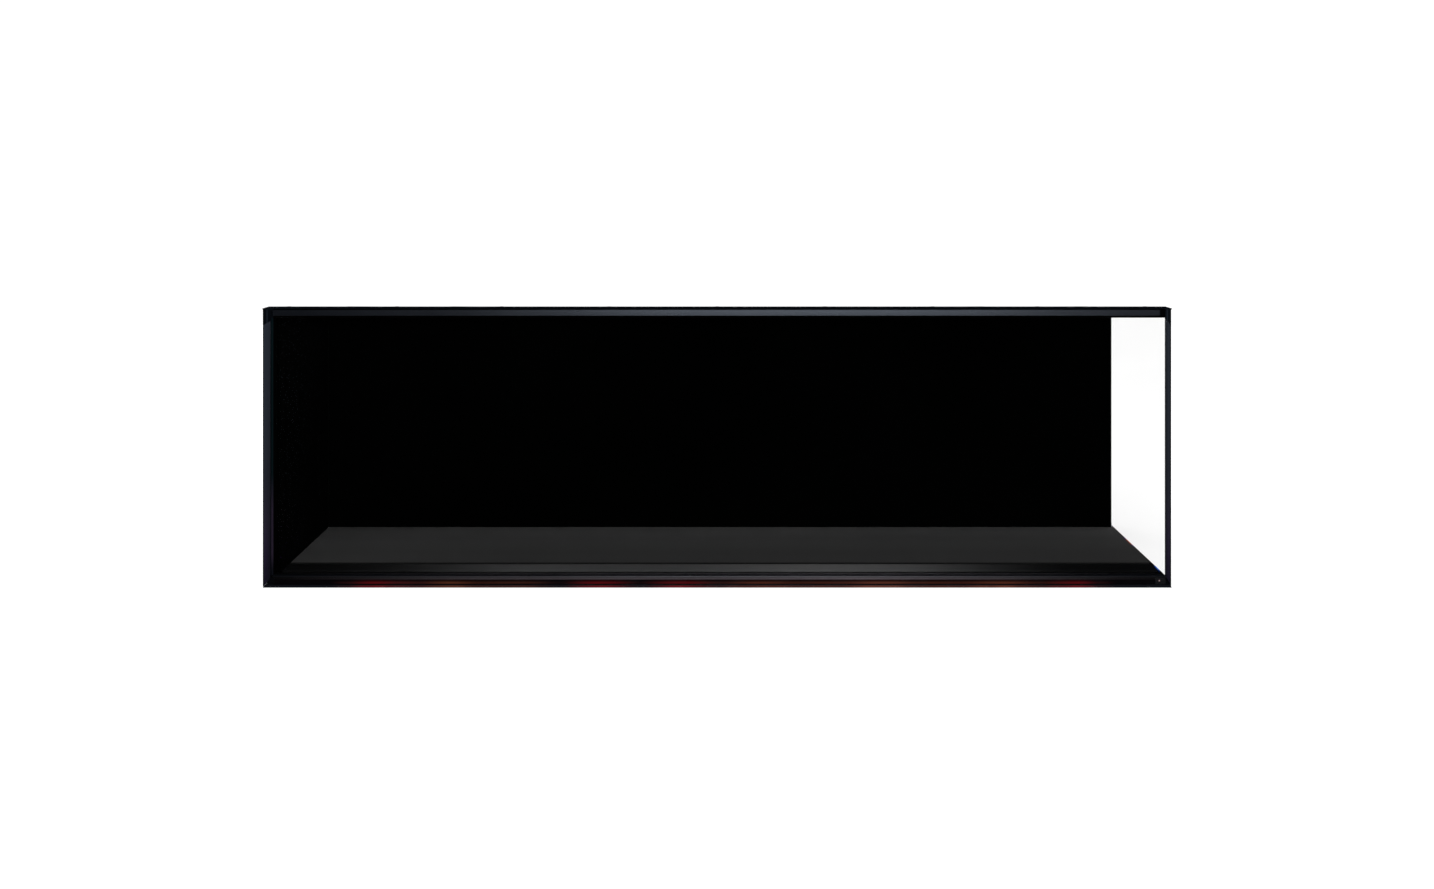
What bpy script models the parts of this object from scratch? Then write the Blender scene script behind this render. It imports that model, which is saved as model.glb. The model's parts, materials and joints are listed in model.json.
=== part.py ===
"""A two-sided built-in electric fireplace, glazed at the front and at its right-hand end.

Metres, +Z up, +X to the right as seen from the room, and +Y from the room into the wall.
The origin is the middle of the base. "Depth" below always means the distance behind the
front face, so depth 0 is the face of the frame and the world Y of a depth is at(depth).
"""

import math

import bmesh
import bpy
from mathutils import Matrix

# ---------------------------------------------------------------- driving dimensions
WIDTH = 1.524
HEIGHT = 0.468
DEPTH = 0.332
SHEET = 0.0012  # folded sheet steel
GAP = 0.0003  # between pieces that touch
GLASS = 0.004

FLOOR_Z = 0.0198  # top of the media tray
SILL_Z = 0.020  # top of the bottom rails
LEFT_INNER_X = -0.7444  # inner edge of the left stile, in line with the liner
RIGHT_INNER_X = 0.751  # inner edge of the right corner post
SCREEN_DEPTH = 0.249  # front face of the flame screen
BAY_DEPTH = 0.2545  # front of the bay behind the screen
REAR_DEPTH = 0.330  # outer face of the rear panel

# The roof falls to the rear. The firebox ceiling hangs parallel below it, and the warm-air
# duct is the space between the two.
BAND_DEPTH = 0.026  # the level band along the top of the front frame
ROOF_FALL = 0.1328  # drop for each metre of depth
DUCT_HEIGHT = 0.0164

# Front frame sections
RAIL_DEPTH = 0.0144
FACE = 0.0117  # height of the lit face of the top rail
RAIL_LOW_Z = 0.4523  # lower edge of the top rail's recessed lip
LIP_SETBACK = 0.0025
CHAMFER = 0.0012
STILE_CHAMFER = 0.0020
POST_CHAMFER = 0.0034
POCKET = (0.0068, 0.0132)  # depths of the slot that the front glass stands in
POCKET_TOP_Z = 0.4664
GLASS_DEPTH = 0.008  # front face of the front glass
GLASS_LEFT_X = -0.752
GLASS_RIGHT_X = 0.7575
GLASS_BOTTOM_Z = 0.0131
GLASS_TOP_Z = 0.4552
POST_LEG = 0.003  # thickness of the right corner angle
SIDE_PANE_X = 0.753  # inner face of the side glass
SIDE_RAIL_X = 0.7585  # inner face of the flat bars that frame the side glass
SIDE_RAIL_IN_X = 0.7502  # inner edge of the side's bottom rail
SIDE_RAIL_OUT_Z = 0.0105  # top of that rail outside the glass
SIDE_PANE_FLOOR_Z = 0.006
SCREEN_RIGHT_X = 0.748
CASE_LEFT_X = -0.7598
CASE_RIGHT_X = 0.7598

# Slots of the warm-air outlet, in three groups along the top
SLOT_PITCH = 0.006234
SLOT_WIDTH = 0.0030
SLOT_DEPTHS = (0.0160, 0.0250)
STRIP_DEPTHS = (0.0147, 0.0257)
STRIP_BOTTOM_Z = 0.4666
SLOT_GROUPS = ((-0.2830, 28), (0.0, 55), (0.2830, 28))  # middle of each group, slots

# Controls in the top strip
BUTTON_DEPTHS = (0.0162, 0.0242)
BUTTON_CLEARANCE = 0.0005
BUTTON_LENGTH = 0.012
BUTTON_FOOT_Z = 0.4580
BUTTONS = (("standby_button", 0.600), ("flame_button", 0.625), ("heater_button", 0.650))
ROCKER_X = 0.700
ROCKER_Z = 0.4604
ROCKER_TILT = math.radians(8)
ROCKER_HOLE = 0.0115

# Flame rotor and its bearings
ROTOR_DEPTH = 0.292
ROTOR_Z = 0.062
ROTOR_END = 0.656
SHAFT_RADIUS = 0.003
BORE_RADIUS = 0.0036
PADDLE_LENGTH = 0.040
PADDLE_REACH = 0.024
PADDLE_COUNT = 16
BEARINGS = (("rotor_bearing_left", -0.632), ("rotor_bearing_centre", 0.0), ("rotor_bearing_right", 0.632))

# Blower and heater
BLOWER_DEPTH = 0.291
BLOWER_Z = 0.374
BLOWER_HALF = 0.160  # half the length of the wheel
BLOWER_RADIUS = 0.024
BLADE_COUNT = 15
THROAT = (0.2570, 0.2730)  # depths of the upright duct from the blower
HOUSING_HALF = 0.166
DUCT_HALF = 0.372

TAU = 2 * math.pi


def at(depth):
    """World Y of a depth behind the front face."""
    return depth - DEPTH / 2


def roof_z(depth):
    """Height of the roof's upper surface. It is extended forwards over the level band."""
    return HEIGHT - ROOF_FALL * (depth - BAND_DEPTH)


def ceiling_z(depth):
    """Height of the firebox ceiling's lower surface."""
    return roof_z(depth) - SHEET - DUCT_HEIGHT - SHEET


# ---------------------------------------------------------------- scene and materials
for old in list(bpy.data.objects):
    bpy.data.objects.remove(old, do_unlink=True)

FIREPLACE = bpy.data.collections.new("electric_fireplace")
CUTTERS = bpy.data.collections.new("cutters")
for group in (FIREPLACE, CUTTERS):
    bpy.context.scene.collection.children.link(group)


def material(name, colour, roughness, metallic=0.0, alpha=1.0):
    made = bpy.data.materials.new(name)
    made.use_nodes = True
    shader = made.node_tree.nodes["Principled BSDF"]
    shader.inputs["Base Color"].default_value = (*colour, 1)
    shader.inputs["Roughness"].default_value = roughness
    shader.inputs["Metallic"].default_value = metallic
    shader.inputs["Alpha"].default_value = alpha
    return made


FRAME_BLACK = material("frame_black", (0.022, 0.024, 0.028), 0.38, 0.4)
CASE_BLACK = material("case_black", (0.018, 0.018, 0.019), 0.55)
LINER_BLACK = material("liner_black", (0.002, 0.002, 0.002), 0.8)
SCREEN_BLACK = material("screen_black", (0.001, 0.001, 0.001), 0.25)
TRAY_GREY = material("tray_grey", (0.0185, 0.0185, 0.0185), 0.85)
LEDGE_METAL = material("ledge_metal", (0.09, 0.09, 0.09), 0.35, 0.8)
CLEAR_GLASS = material("clear_glass", (0.6, 0.66, 0.64), 0.02, 0.0, 0.12)
SMOKED_LENS = material("smoked_lens", (0.05, 0.012, 0.008), 0.2)
RUBBER = material("rubber", (0.02, 0.02, 0.02), 0.7)
ZINC = material("zinc", (0.42, 0.42, 0.44), 0.35, 0.9)
ALUMINIUM = material("aluminium", (0.55, 0.56, 0.58), 0.3, 1.0)
BOARD_GREEN = material("board_green", (0.02, 0.10, 0.04), 0.5)
BOARD_WHITE = material("board_white", (0.65, 0.65, 0.62), 0.5)
BLACK_PLASTIC = material("black_plastic", (0.02, 0.02, 0.022), 0.45)
WHITE_NYLON = material("white_nylon", (0.6, 0.6, 0.55), 0.5)


# ---------------------------------------------------------------- shape helpers
def new_object(name, data, finish, collection=None):
    obj = bpy.data.objects.new(name, data)
    (collection or FIREPLACE).objects.link(obj)
    if finish:
        own = finish.copy()
        own.name = name
        data.materials.append(own)
    return obj


def box(name, x, depth, z, finish, collection=None):
    """A block between two values on each axis, with its origin at its middle."""
    mesh = bpy.data.meshes.new(name)
    shape = bmesh.new()
    bmesh.ops.create_cube(shape, size=1)
    bmesh.ops.scale(shape, vec=(x[1] - x[0], depth[1] - depth[0], z[1] - z[0]), verts=shape.verts)
    shape.to_mesh(mesh)
    shape.free()
    obj = new_object(name, mesh, finish, collection)
    obj.location = (sum(x) / 2, at(sum(depth) / 2), sum(z) / 2)
    return obj


def closed_mesh(curve_object):
    """Turns a curve object into a mesh object with welded caps."""
    graph = bpy.context.evaluated_depsgraph_get()
    graph.update()
    mesh = bpy.data.meshes.new_from_object(curve_object.evaluated_get(graph))
    shape = bmesh.new()
    shape.from_mesh(mesh)
    bmesh.ops.remove_doubles(shape, verts=shape.verts, dist=1e-6)
    bmesh.ops.recalc_face_normals(shape, faces=shape.faces)
    shape.to_mesh(mesh)
    shape.free()
    name, place = curve_object.name, curve_object.matrix_world.copy()
    collection = curve_object.users_collection[0]
    bpy.data.objects.remove(curve_object)
    obj = new_object(name, mesh, None, collection)
    obj.matrix_world = place
    return obj


# For each axis that an outline is drawn out along: the turn that lays the outline's plane
# across it. The outline is (depth, z) across X, (x, z) across Y and (x, depth) across Z.
ACROSS = {
    "X": Matrix(((0, 0, 1), (1, 0, 0), (0, 1, 0))),
    "Y": Matrix(((1, 0, 0), (0, 0, -1), (0, 1, 0))),
    "Z": Matrix(((1, 0, 0), (0, 1, 0), (0, 0, 1))),
}


def prism(name, axis, outline, span, finish, holes=(), collection=None, origin=(0, 0)):
    """A flat outline, with any holes, drawn out along an axis between the two values of span.

    The outline is measured from origin, a point in its own plane, and so is the object's origin.
    """
    curve = bpy.data.curves.new(name, "CURVE")
    curve.dimensions = "2D"
    curve.fill_mode = "BOTH"
    curve.extrude = (span[1] - span[0]) / 2
    for loop in (outline, *holes):
        spline = curve.splines.new("POLY")
        spline.points.add(len(loop) - 1)
        for point, (u, v) in zip(spline.points, loop):
            point.co = (u, v, 0, 1)
        spline.use_cyclic_u = True
    obj = new_object(name, curve, finish, collection)
    middle = sum(span) / 2
    obj.location = {
        "X": (middle, at(origin[0]), origin[1]),
        "Y": (origin[0], at(middle), origin[1]),
        "Z": (origin[0], at(origin[1]), middle),
    }[axis]
    obj.rotation_euler = ACROSS[axis].to_euler()
    bpy.context.view_layer.update()
    return closed_mesh(obj)


def rectangle(u, v):
    return [(u[0], v[0]), (u[1], v[0]), (u[1], v[1]), (u[0], v[1])]


def circle(centre, radius, count=24):
    turns = [TAU * i / count for i in range(count)]
    return [(centre[0] + radius * math.cos(a), centre[1] + radius * math.sin(a)) for a in turns]


def turned(name, profile, place, axis, finish, steps=24, collection=None):
    """A turned piece. profile is (radius, height along the axis), down the outer side."""
    mesh = bpy.data.meshes.new(name)
    edges = [(i, i + 1) for i in range(len(profile) - 1)]
    if all(radius > 0 for radius, _ in profile):
        edges.append((len(profile) - 1, 0))
    mesh.from_pydata([(radius, 0, height) for radius, height in profile], edges, [])
    obj = new_object(name, mesh, finish, collection)
    screw = obj.modifiers.new("turn", "SCREW")
    screw.axis = "Z"
    screw.angle = TAU
    screw.steps = screw.render_steps = steps
    screw.use_merge_vertices = True
    screw.merge_threshold = 1e-6
    x, depth, z = place
    obj.location = (x, at(depth), z)
    obj.rotation_euler = {"X": (0, math.pi / 2, 0), "Y": (-math.pi / 2, 0, 0), "Z": (0, 0, 0)}[axis]
    return obj


def hide_cutter(obj):
    obj.hide_render = True
    obj.display_type = "WIRE"


def combine(base, other, operation):
    """Joins other to base, or cuts it out of base. Other stays in the file as a helper."""
    change = base.modifiers.new(operation.lower(), "BOOLEAN")
    change.operation = operation
    change.object = other
    hide_cutter(other)
    return base


def mitre(obj, near, far, keep_above):
    """Cuts a piece square to the frame's face through two (x, z) points and closes the cut."""
    side = 1 if keep_above else -1
    along = (far[0] - near[0], far[1] - near[1])
    length = math.hypot(*along)
    normal = (-along[1] / length, along[0] / length)
    if normal[1] < 0:
        normal = (-normal[0], -normal[1])
    shape = bmesh.new()
    shape.from_mesh(obj.data)
    shape.transform(obj.matrix_world)
    offset = side * GAP / 2
    bmesh.ops.bisect_plane(
        shape,
        geom=[*shape.verts, *shape.edges, *shape.faces],
        plane_co=(near[0] + normal[0] * offset, 0, near[1] + normal[1] * offset),
        plane_no=(normal[0] * side, 0, normal[1] * side),
        clear_inner=True,
        dist=1e-7,
    )
    rim = [edge for edge in shape.edges if edge.is_boundary]
    bmesh.ops.triangle_fill(shape, edges=rim, use_beauty=True, use_dissolve=False)
    bmesh.ops.remove_doubles(shape, verts=shape.verts, dist=1e-6)
    bmesh.ops.recalc_face_normals(shape, faces=shape.faces)
    shape.transform(obj.matrix_world.inverted())
    shape.to_mesh(obj.data)
    shape.free()
    return obj


# ---------------------------------------------------------------- front frame
LEFT_X = -WIDTH / 2
RIGHT_X = WIDTH / 2
LEFT_MITRE = ((LEFT_X, 0), (LEFT_INNER_X, SILL_Z))
RIGHT_MITRE = ((RIGHT_X, 0), (RIGHT_INNER_X, SILL_Z))
# The corner caps end on a line that falls towards the outside.
CAP_INNER_Z, CAP_OUTER_Z = 0.4498, 0.4389
LEFT_CAP_LINE = ((LEFT_X, CAP_OUTER_Z), (LEFT_INNER_X, CAP_INNER_Z))
RIGHT_CAP_LINE = ((RIGHT_X, CAP_OUTER_Z), (RIGHT_INNER_X, CAP_INNER_Z))


def stile_section():
    """(x, depth) outline of the left stile: a face, a set-back lip and a slot for the glass."""
    face_edge = LEFT_INNER_X - 0.004
    slot_x = GLASS_LEFT_X - 0.0008
    return [
        (LEFT_X + STILE_CHAMFER, 0),
        (face_edge, 0),
        (face_edge, LIP_SETBACK),
        (LEFT_INNER_X, LIP_SETBACK),
        (LEFT_INNER_X, POCKET[0]),
        (slot_x, POCKET[0]),
        (slot_x, POCKET[1]),
        (LEFT_INNER_X, POCKET[1]),
        (LEFT_INNER_X, RAIL_DEPTH),
        (LEFT_X, RAIL_DEPTH),
        (LEFT_X, STILE_CHAMFER),
    ]


def post_section():
    """(x, depth) outline of the right corner post, an angle round the outside of both panes."""
    return [
        (RIGHT_INNER_X, 0),
        (RIGHT_X - POST_CHAMFER, 0),
        (RIGHT_X, POST_CHAMFER),
        (RIGHT_X, RAIL_DEPTH),
        (RIGHT_X - POST_LEG, RAIL_DEPTH),
        (RIGHT_X - POST_LEG, POST_LEG),
        (RIGHT_INNER_X, POST_LEG),
    ]


def uprights():
    overlap = 0.03
    stile = prism("left_front_stile", "Z", stile_section(), (0, CAP_INNER_Z + overlap), FRAME_BLACK)
    mitre(stile, *LEFT_MITRE, keep_above=True)
    mitre(stile, *LEFT_CAP_LINE, keep_above=False)
    post = prism("right_corner_post", "Z", post_section(), (0, CAP_INNER_Z + overlap), FRAME_BLACK)
    mitre(post, *RIGHT_MITRE, keep_above=True)
    mitre(post, *RIGHT_CAP_LINE, keep_above=False)


def corner_cap(name, section, x_span, line):
    """The block at a top corner: the upright's own section under a closed top."""
    top_overlap = 0.0004
    body = prism(name, "Z", section, (CAP_OUTER_Z - 0.02, POCKET_TOP_Z + top_overlap), FRAME_BLACK)
    mitre(body, *line, keep_above=True)
    lid = box(name + "_lid", x_span, (0, RAIL_DEPTH), (POCKET_TOP_Z, HEIGHT), None, CUTTERS)
    return combine(body, lid, "UNION")


def top_rail():
    face_low = RAIL_LOW_Z + 0.0035
    outline = [
        (0, face_low),
        (0, HEIGHT - CHAMFER),
        (CHAMFER, HEIGHT),
        (RAIL_DEPTH, HEIGHT),
        (RAIL_DEPTH, RAIL_LOW_Z - 0.0017),
        (POCKET[1], RAIL_LOW_Z - 0.0017),
        (POCKET[1], POCKET_TOP_Z),
        (POCKET[0], POCKET_TOP_Z),
        (POCKET[0], RAIL_LOW_Z),
        (LIP_SETBACK, RAIL_LOW_Z),
        (LIP_SETBACK, face_low),
    ]
    prism("front_top_rail", "X", outline, (LEFT_INNER_X + GAP, RIGHT_INNER_X - GAP), FRAME_BLACK)


# The groove along the bottom rail's face, for the accent light
GROOVE_Z = (0.0052, 0.0163)
GROOVE_DEPTH = 0.0054
PANE_FLOOR_Z = 0.0105  # bottom of the slot that the front glass stands in


def bottom_rail():
    outline = [
        (0, CHAMFER / 2),
        (CHAMFER / 2, 0),
        (RAIL_DEPTH, 0),
        (RAIL_DEPTH, SILL_Z - 0.0005),
        (POCKET[1], SILL_Z - 0.0005),
        (POCKET[1], PANE_FLOOR_Z),
        (POCKET[0], PANE_FLOOR_Z),
        (POCKET[0], SILL_Z),
        (CHAMFER, SILL_Z),
        (0, SILL_Z - CHAMFER),
        (0, GROOVE_Z[1]),
        (GROOVE_DEPTH, GROOVE_Z[1]),
        (GROOVE_DEPTH, GROOVE_Z[0]),
        (0, GROOVE_Z[0]),
    ]
    rail = prism("front_bottom_rail", "X", outline, (LEFT_X, RIGHT_X), FRAME_BLACK)
    mitre(rail, *LEFT_MITRE, keep_above=False)
    mitre(rail, *RIGHT_MITRE, keep_above=False)


# ---------------------------------------------------------------- right-hand side frame
SIDE_STILE = (0.2890, 0.3020)
SIDE_FRONT = RAIL_DEPTH + GAP


def side_frame():
    top_in_band = STRIP_BOTTOM_Z - GAP
    rail_end = SIDE_STILE[0] - GAP
    under_roof = SHEET + GAP
    rail_top_bend = BAND_DEPTH + (HEIGHT - under_roof - top_in_band) / ROOF_FALL
    top = [
        (SIDE_FRONT, top_in_band),
        (rail_top_bend, top_in_band),
        (rail_end, roof_z(rail_end) - under_roof),
        (rail_end, ceiling_z(rail_end)),
        (SIDE_FRONT, ceiling_z(SIDE_FRONT)),
    ]
    prism("side_top_rail", "X", top, (SIDE_RAIL_X, RIGHT_X), FRAME_BLACK)
    stile = [
        (SIDE_STILE[0], SIDE_RAIL_OUT_Z + GAP),
        (SIDE_STILE[1], SIDE_RAIL_OUT_Z + GAP),
        (SIDE_STILE[1], roof_z(SIDE_STILE[1]) - under_roof),
        (SIDE_STILE[0], roof_z(SIDE_STILE[0]) - under_roof),
    ]
    prism("side_rear_stile", "X", stile, (SIDE_RAIL_X, RIGHT_X), FRAME_BLACK)
    slot = (SIDE_PANE_X - 0.0008, SIDE_PANE_X + GLASS + 0.0008)
    bottom = [
        (SIDE_RAIL_IN_X, 0),
        (RIGHT_X - CHAMFER / 2, 0),
        (RIGHT_X, CHAMFER / 2),
        (RIGHT_X, SIDE_RAIL_OUT_Z),
        (slot[1], SIDE_RAIL_OUT_Z),
        (slot[1], SIDE_PANE_FLOOR_Z),
        (slot[0], SIDE_PANE_FLOOR_Z),
        (slot[0], SILL_Z),
        (SIDE_RAIL_IN_X, SILL_Z),
    ]
    prism("side_bottom_rail", "Y", bottom, (SIDE_FRONT, REAR_DEPTH - 0.0014), FRAME_BLACK)


# ---------------------------------------------------------------- glass
def panes():
    box(
        "front_glass",
        (GLASS_LEFT_X, GLASS_RIGHT_X),
        (GLASS_DEPTH, GLASS_DEPTH + GLASS),
        (GLASS_BOTTOM_Z, GLASS_TOP_Z),
        CLEAR_GLASS,
    )
    box(
        "front_glass_cushion",
        (-0.740, 0.745),
        (GLASS_DEPTH - 0.0005, GLASS_DEPTH + GLASS + 0.0005),
        (PANE_FLOOR_Z + GAP, GLASS_BOTTOM_Z - GAP),
        RUBBER,
    )
    ends = (SIDE_FRONT + GAP, SIDE_STILE[1] - 0.004)
    below_roof = 0.004
    outline = [
        (ends[0], SIDE_PANE_FLOOR_Z + GAP),
        (ends[1], SIDE_PANE_FLOOR_Z + GAP),
        (ends[1], roof_z(ends[1]) - below_roof),
        (BAND_DEPTH, HEIGHT - below_roof),
        (ends[0], HEIGHT - below_roof),
    ]
    prism("side_glass", "X", outline, (SIDE_PANE_X, SIDE_PANE_X + GLASS), CLEAR_GLASS)


# ---------------------------------------------------------------- outer case
PANEL_REAR = REAR_DEPTH - 0.0014  # where the side sheets and the base stop
BASE_FRONT = SIDE_FRONT + GAP


def base_pan():
    """The floor of the case, turned up at the front and at the rear."""
    front_lip, rear_lip = 0.0150, 0.0200
    outline = [
        (BASE_FRONT, 0),
        (PANEL_REAR, 0),
        (PANEL_REAR, rear_lip),
        (PANEL_REAR - SHEET, rear_lip),
        (PANEL_REAR - SHEET, SHEET),
        (BASE_FRONT + SHEET, SHEET),
        (BASE_FRONT + SHEET, front_lip),
        (BASE_FRONT, front_lip),
    ]
    prism("base_pan", "X", outline, (CASE_LEFT_X + SHEET + GAP, SIDE_RAIL_IN_X - GAP), CASE_BLACK)


def roof_panel():
    """The falling roof, with a lip turned down over the rear panel."""
    lip_depth = REAR_DEPTH + GAP
    lip = 0.009
    outer = lip_depth + SHEET
    outline = [
        (BAND_DEPTH, HEIGHT - SHEET),
        (BAND_DEPTH, HEIGHT),
        (outer, roof_z(outer)),
        (outer, roof_z(outer) - lip),
        (lip_depth, roof_z(outer) - lip),
        (lip_depth, roof_z(lip_depth) - SHEET),
    ]
    prism("roof_panel", "X", outline, (-0.761, 0.761), CASE_BLACK)


GROMMET_X, GROMMET_Z, GROMMET_HOLE = -0.690, 0.070, 0.0100
SCREW_X, SCREW_LOW_Z, SCREW_HIGH_Z = 0.742, 0.035, 0.405
SCREW_HOLE = 0.0024
# The three intake fields of the rear panel: middle x, middle z, columns, rows
LOUVRES = ((-0.28, 0.345, 4, 4), (0.0, 0.345, 4, 4), (0.575, 0.115, 4, 3))
LOUVRE_PITCH_X, LOUVRE_PITCH_Z = 0.050, 0.014
LOUVRE_HALF_X, LOUVRE_HALF_Z = 0.020, 0.0018


def louvre_slot(x, z):
    ends = (x - LOUVRE_HALF_X, x + LOUVRE_HALF_X)
    return rectangle(ends, (z - LOUVRE_HALF_Z, z + LOUVRE_HALF_Z))


def rear_panel():
    top = roof_z(REAR_DEPTH) - SHEET - GAP
    outline = rectangle((CASE_LEFT_X, CASE_RIGHT_X), (0.0015, top))
    holes = [circle((GROMMET_X, GROMMET_Z), GROMMET_HOLE, 16)]
    for x in (-SCREW_X, SCREW_X):
        for z in (SCREW_LOW_Z, SCREW_HIGH_Z):
            holes.append(circle((x, z), SCREW_HOLE, 8))
    for middle_x, middle_z, columns, rows in LOUVRES:
        for column in range(columns):
            for row in range(rows):
                x = middle_x + (column - (columns - 1) / 2) * LOUVRE_PITCH_X
                z = middle_z + (row - (rows - 1) / 2) * LOUVRE_PITCH_Z
                holes.append(louvre_slot(x, z))
    inner = PANEL_REAR + GAP
    prism("rear_panel", "Y", outline, (inner, REAR_DEPTH), CASE_BLACK, holes)


def side_sheets():
    under_roof = SHEET + GAP
    strip_under = STRIP_BOTTOM_Z - GAP
    bend = BAND_DEPTH + (HEIGHT - under_roof - strip_under) / ROOF_FALL
    left = [
        (BASE_FRONT, 0.0015),
        (PANEL_REAR, 0.0015),
        (PANEL_REAR, roof_z(PANEL_REAR) - under_roof),
        (bend, strip_under),
        (BASE_FRONT, strip_under),
    ]
    prism("left_side_panel", "X", left, (CASE_LEFT_X, CASE_LEFT_X + SHEET), CASE_BLACK)
    front = SIDE_STILE[1] + GAP
    right = [
        (front, SIDE_RAIL_OUT_Z + GAP),
        (PANEL_REAR, SIDE_RAIL_OUT_Z + GAP),
        (PANEL_REAR, roof_z(PANEL_REAR) - under_roof),
        (front, roof_z(front) - under_roof),
    ]
    prism("right_bay_panel", "X", right, (CASE_RIGHT_X - SHEET, CASE_RIGHT_X), CASE_BLACK)

    # The wall that closes the bay behind the right-hand end of the flame screen
    wall_ends = (BAY_DEPTH + 0.001, PANEL_REAR - SHEET - GAP)
    wall = [
        (wall_ends[0], SHEET + GAP),
        (wall_ends[1], SHEET + GAP),
        (wall_ends[1], roof_z(wall_ends[1]) - under_roof),
        (wall_ends[0], roof_z(wall_ends[0]) - under_roof),
    ]
    wall_x = (SCREEN_RIGHT_X - SHEET, SCREEN_RIGHT_X)
    prism("bay_end_wall", "X", wall, wall_x, LINER_BLACK)


def rear_screws():
    """Pan-head screws through the corners of the rear panel."""
    head, head_height, stem, stem_length = 0.0042, 0.0014, 0.0018, 0.006
    profile = [
        (0, head_height),
        (head * 0.7, head_height),
        (head, head_height * 0.4),
        (head, 0),
        (stem, 0),
        (stem, -stem_length),
        (0, -stem_length),
    ]
    places = [(x, z) for z in (SCREW_LOW_Z, SCREW_HIGH_Z) for x in (-SCREW_X, SCREW_X)]
    for number, (x, z) in enumerate(places, 1):
        place = (x, REAR_DEPTH + GAP, z)
        turned(f"rear_screw_{number}", profile, place, "Y", ZINC, steps=12)


def cable_grommet():
    """The rubber ring where the supply cable enters through the rear panel."""
    flange, inner, outer = 0.0135, 0.0055, GROMMET_HOLE - 2 * GAP
    profile = [
        (inner, DEPTH - REAR_DEPTH),
        (flange - 0.002, DEPTH - REAR_DEPTH),
        (flange, GAP),
        (outer, GAP),
        (outer, -0.004),
        (inner, -0.004),
    ]
    turned("cable_grommet", profile, (GROMMET_X, REAR_DEPTH, GROMMET_Z), "Y", RUBBER, steps=16)


# ---------------------------------------------------------------- top strip and controls
def top_vent_strip():
    """The strip behind the top rail: three groups of outlet slots, and holes for the controls."""
    holes = []
    for middle, count in SLOT_GROUPS:
        for i in range(count):
            x = middle + (i - (count - 1) / 2) * SLOT_PITCH
            holes.append(rectangle((x - SLOT_WIDTH / 2, x + SLOT_WIDTH / 2), SLOT_DEPTHS))
    reach = BUTTON_LENGTH / 2 + BUTTON_CLEARANCE
    key_depths = (BUTTON_DEPTHS[0] - BUTTON_CLEARANCE, BUTTON_DEPTHS[1] + BUTTON_CLEARANCE)
    for _, x in BUTTONS:
        holes.append(rectangle((x - reach, x + reach), key_depths))
    holes.append(rectangle((ROCKER_X - ROCKER_HOLE, ROCKER_X + ROCKER_HOLE), key_depths))
    outline = rectangle((-0.7615, 0.7615), STRIP_DEPTHS)
    prism("top_vent_strip", "Z", outline, (STRIP_BOTTOM_Z, HEIGHT), FRAME_BLACK, holes)


def controls():
    for name, x in BUTTONS:
        key = (x - BUTTON_LENGTH / 2, x + BUTTON_LENGTH / 2)
        box(name, key, BUTTON_DEPTHS, (BUTTON_FOOT_Z, HEIGHT), BLACK_PLASTIC)
    half, wing, foot = 0.009, 0.002, 0.003
    cap = [
        (-half, 0.0062),
        (0, 0.0052),
        (half, 0.0062),
        (half, wing),
        (foot, -wing),
        (-foot, -wing),
        (-half, wing),
    ]
    cos, sin = math.cos(-ROCKER_TILT), math.sin(-ROCKER_TILT)
    tilted = [(x * cos - z * sin, x * sin + z * cos) for x, z in cap]
    pivot = (ROCKER_X, ROCKER_Z)
    prism("mains_rocker", "Y", tilted, BUTTON_DEPTHS, BLACK_PLASTIC, origin=pivot)
    box("button_board", (0.585, 0.716), (0.0154, 0.0250), (0.4532, 0.4548), BOARD_GREEN)


# ---------------------------------------------------------------- firebox
LINER_X = -0.7384  # inner face of the left liner
LEDGE = (0.0252, 0.0555)
LEDGE_TOP_Z = 0.0194  # a little below the media tray
SHELF_Z = (0.0156, 0.0171)  # what the media tray rests on


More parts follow.
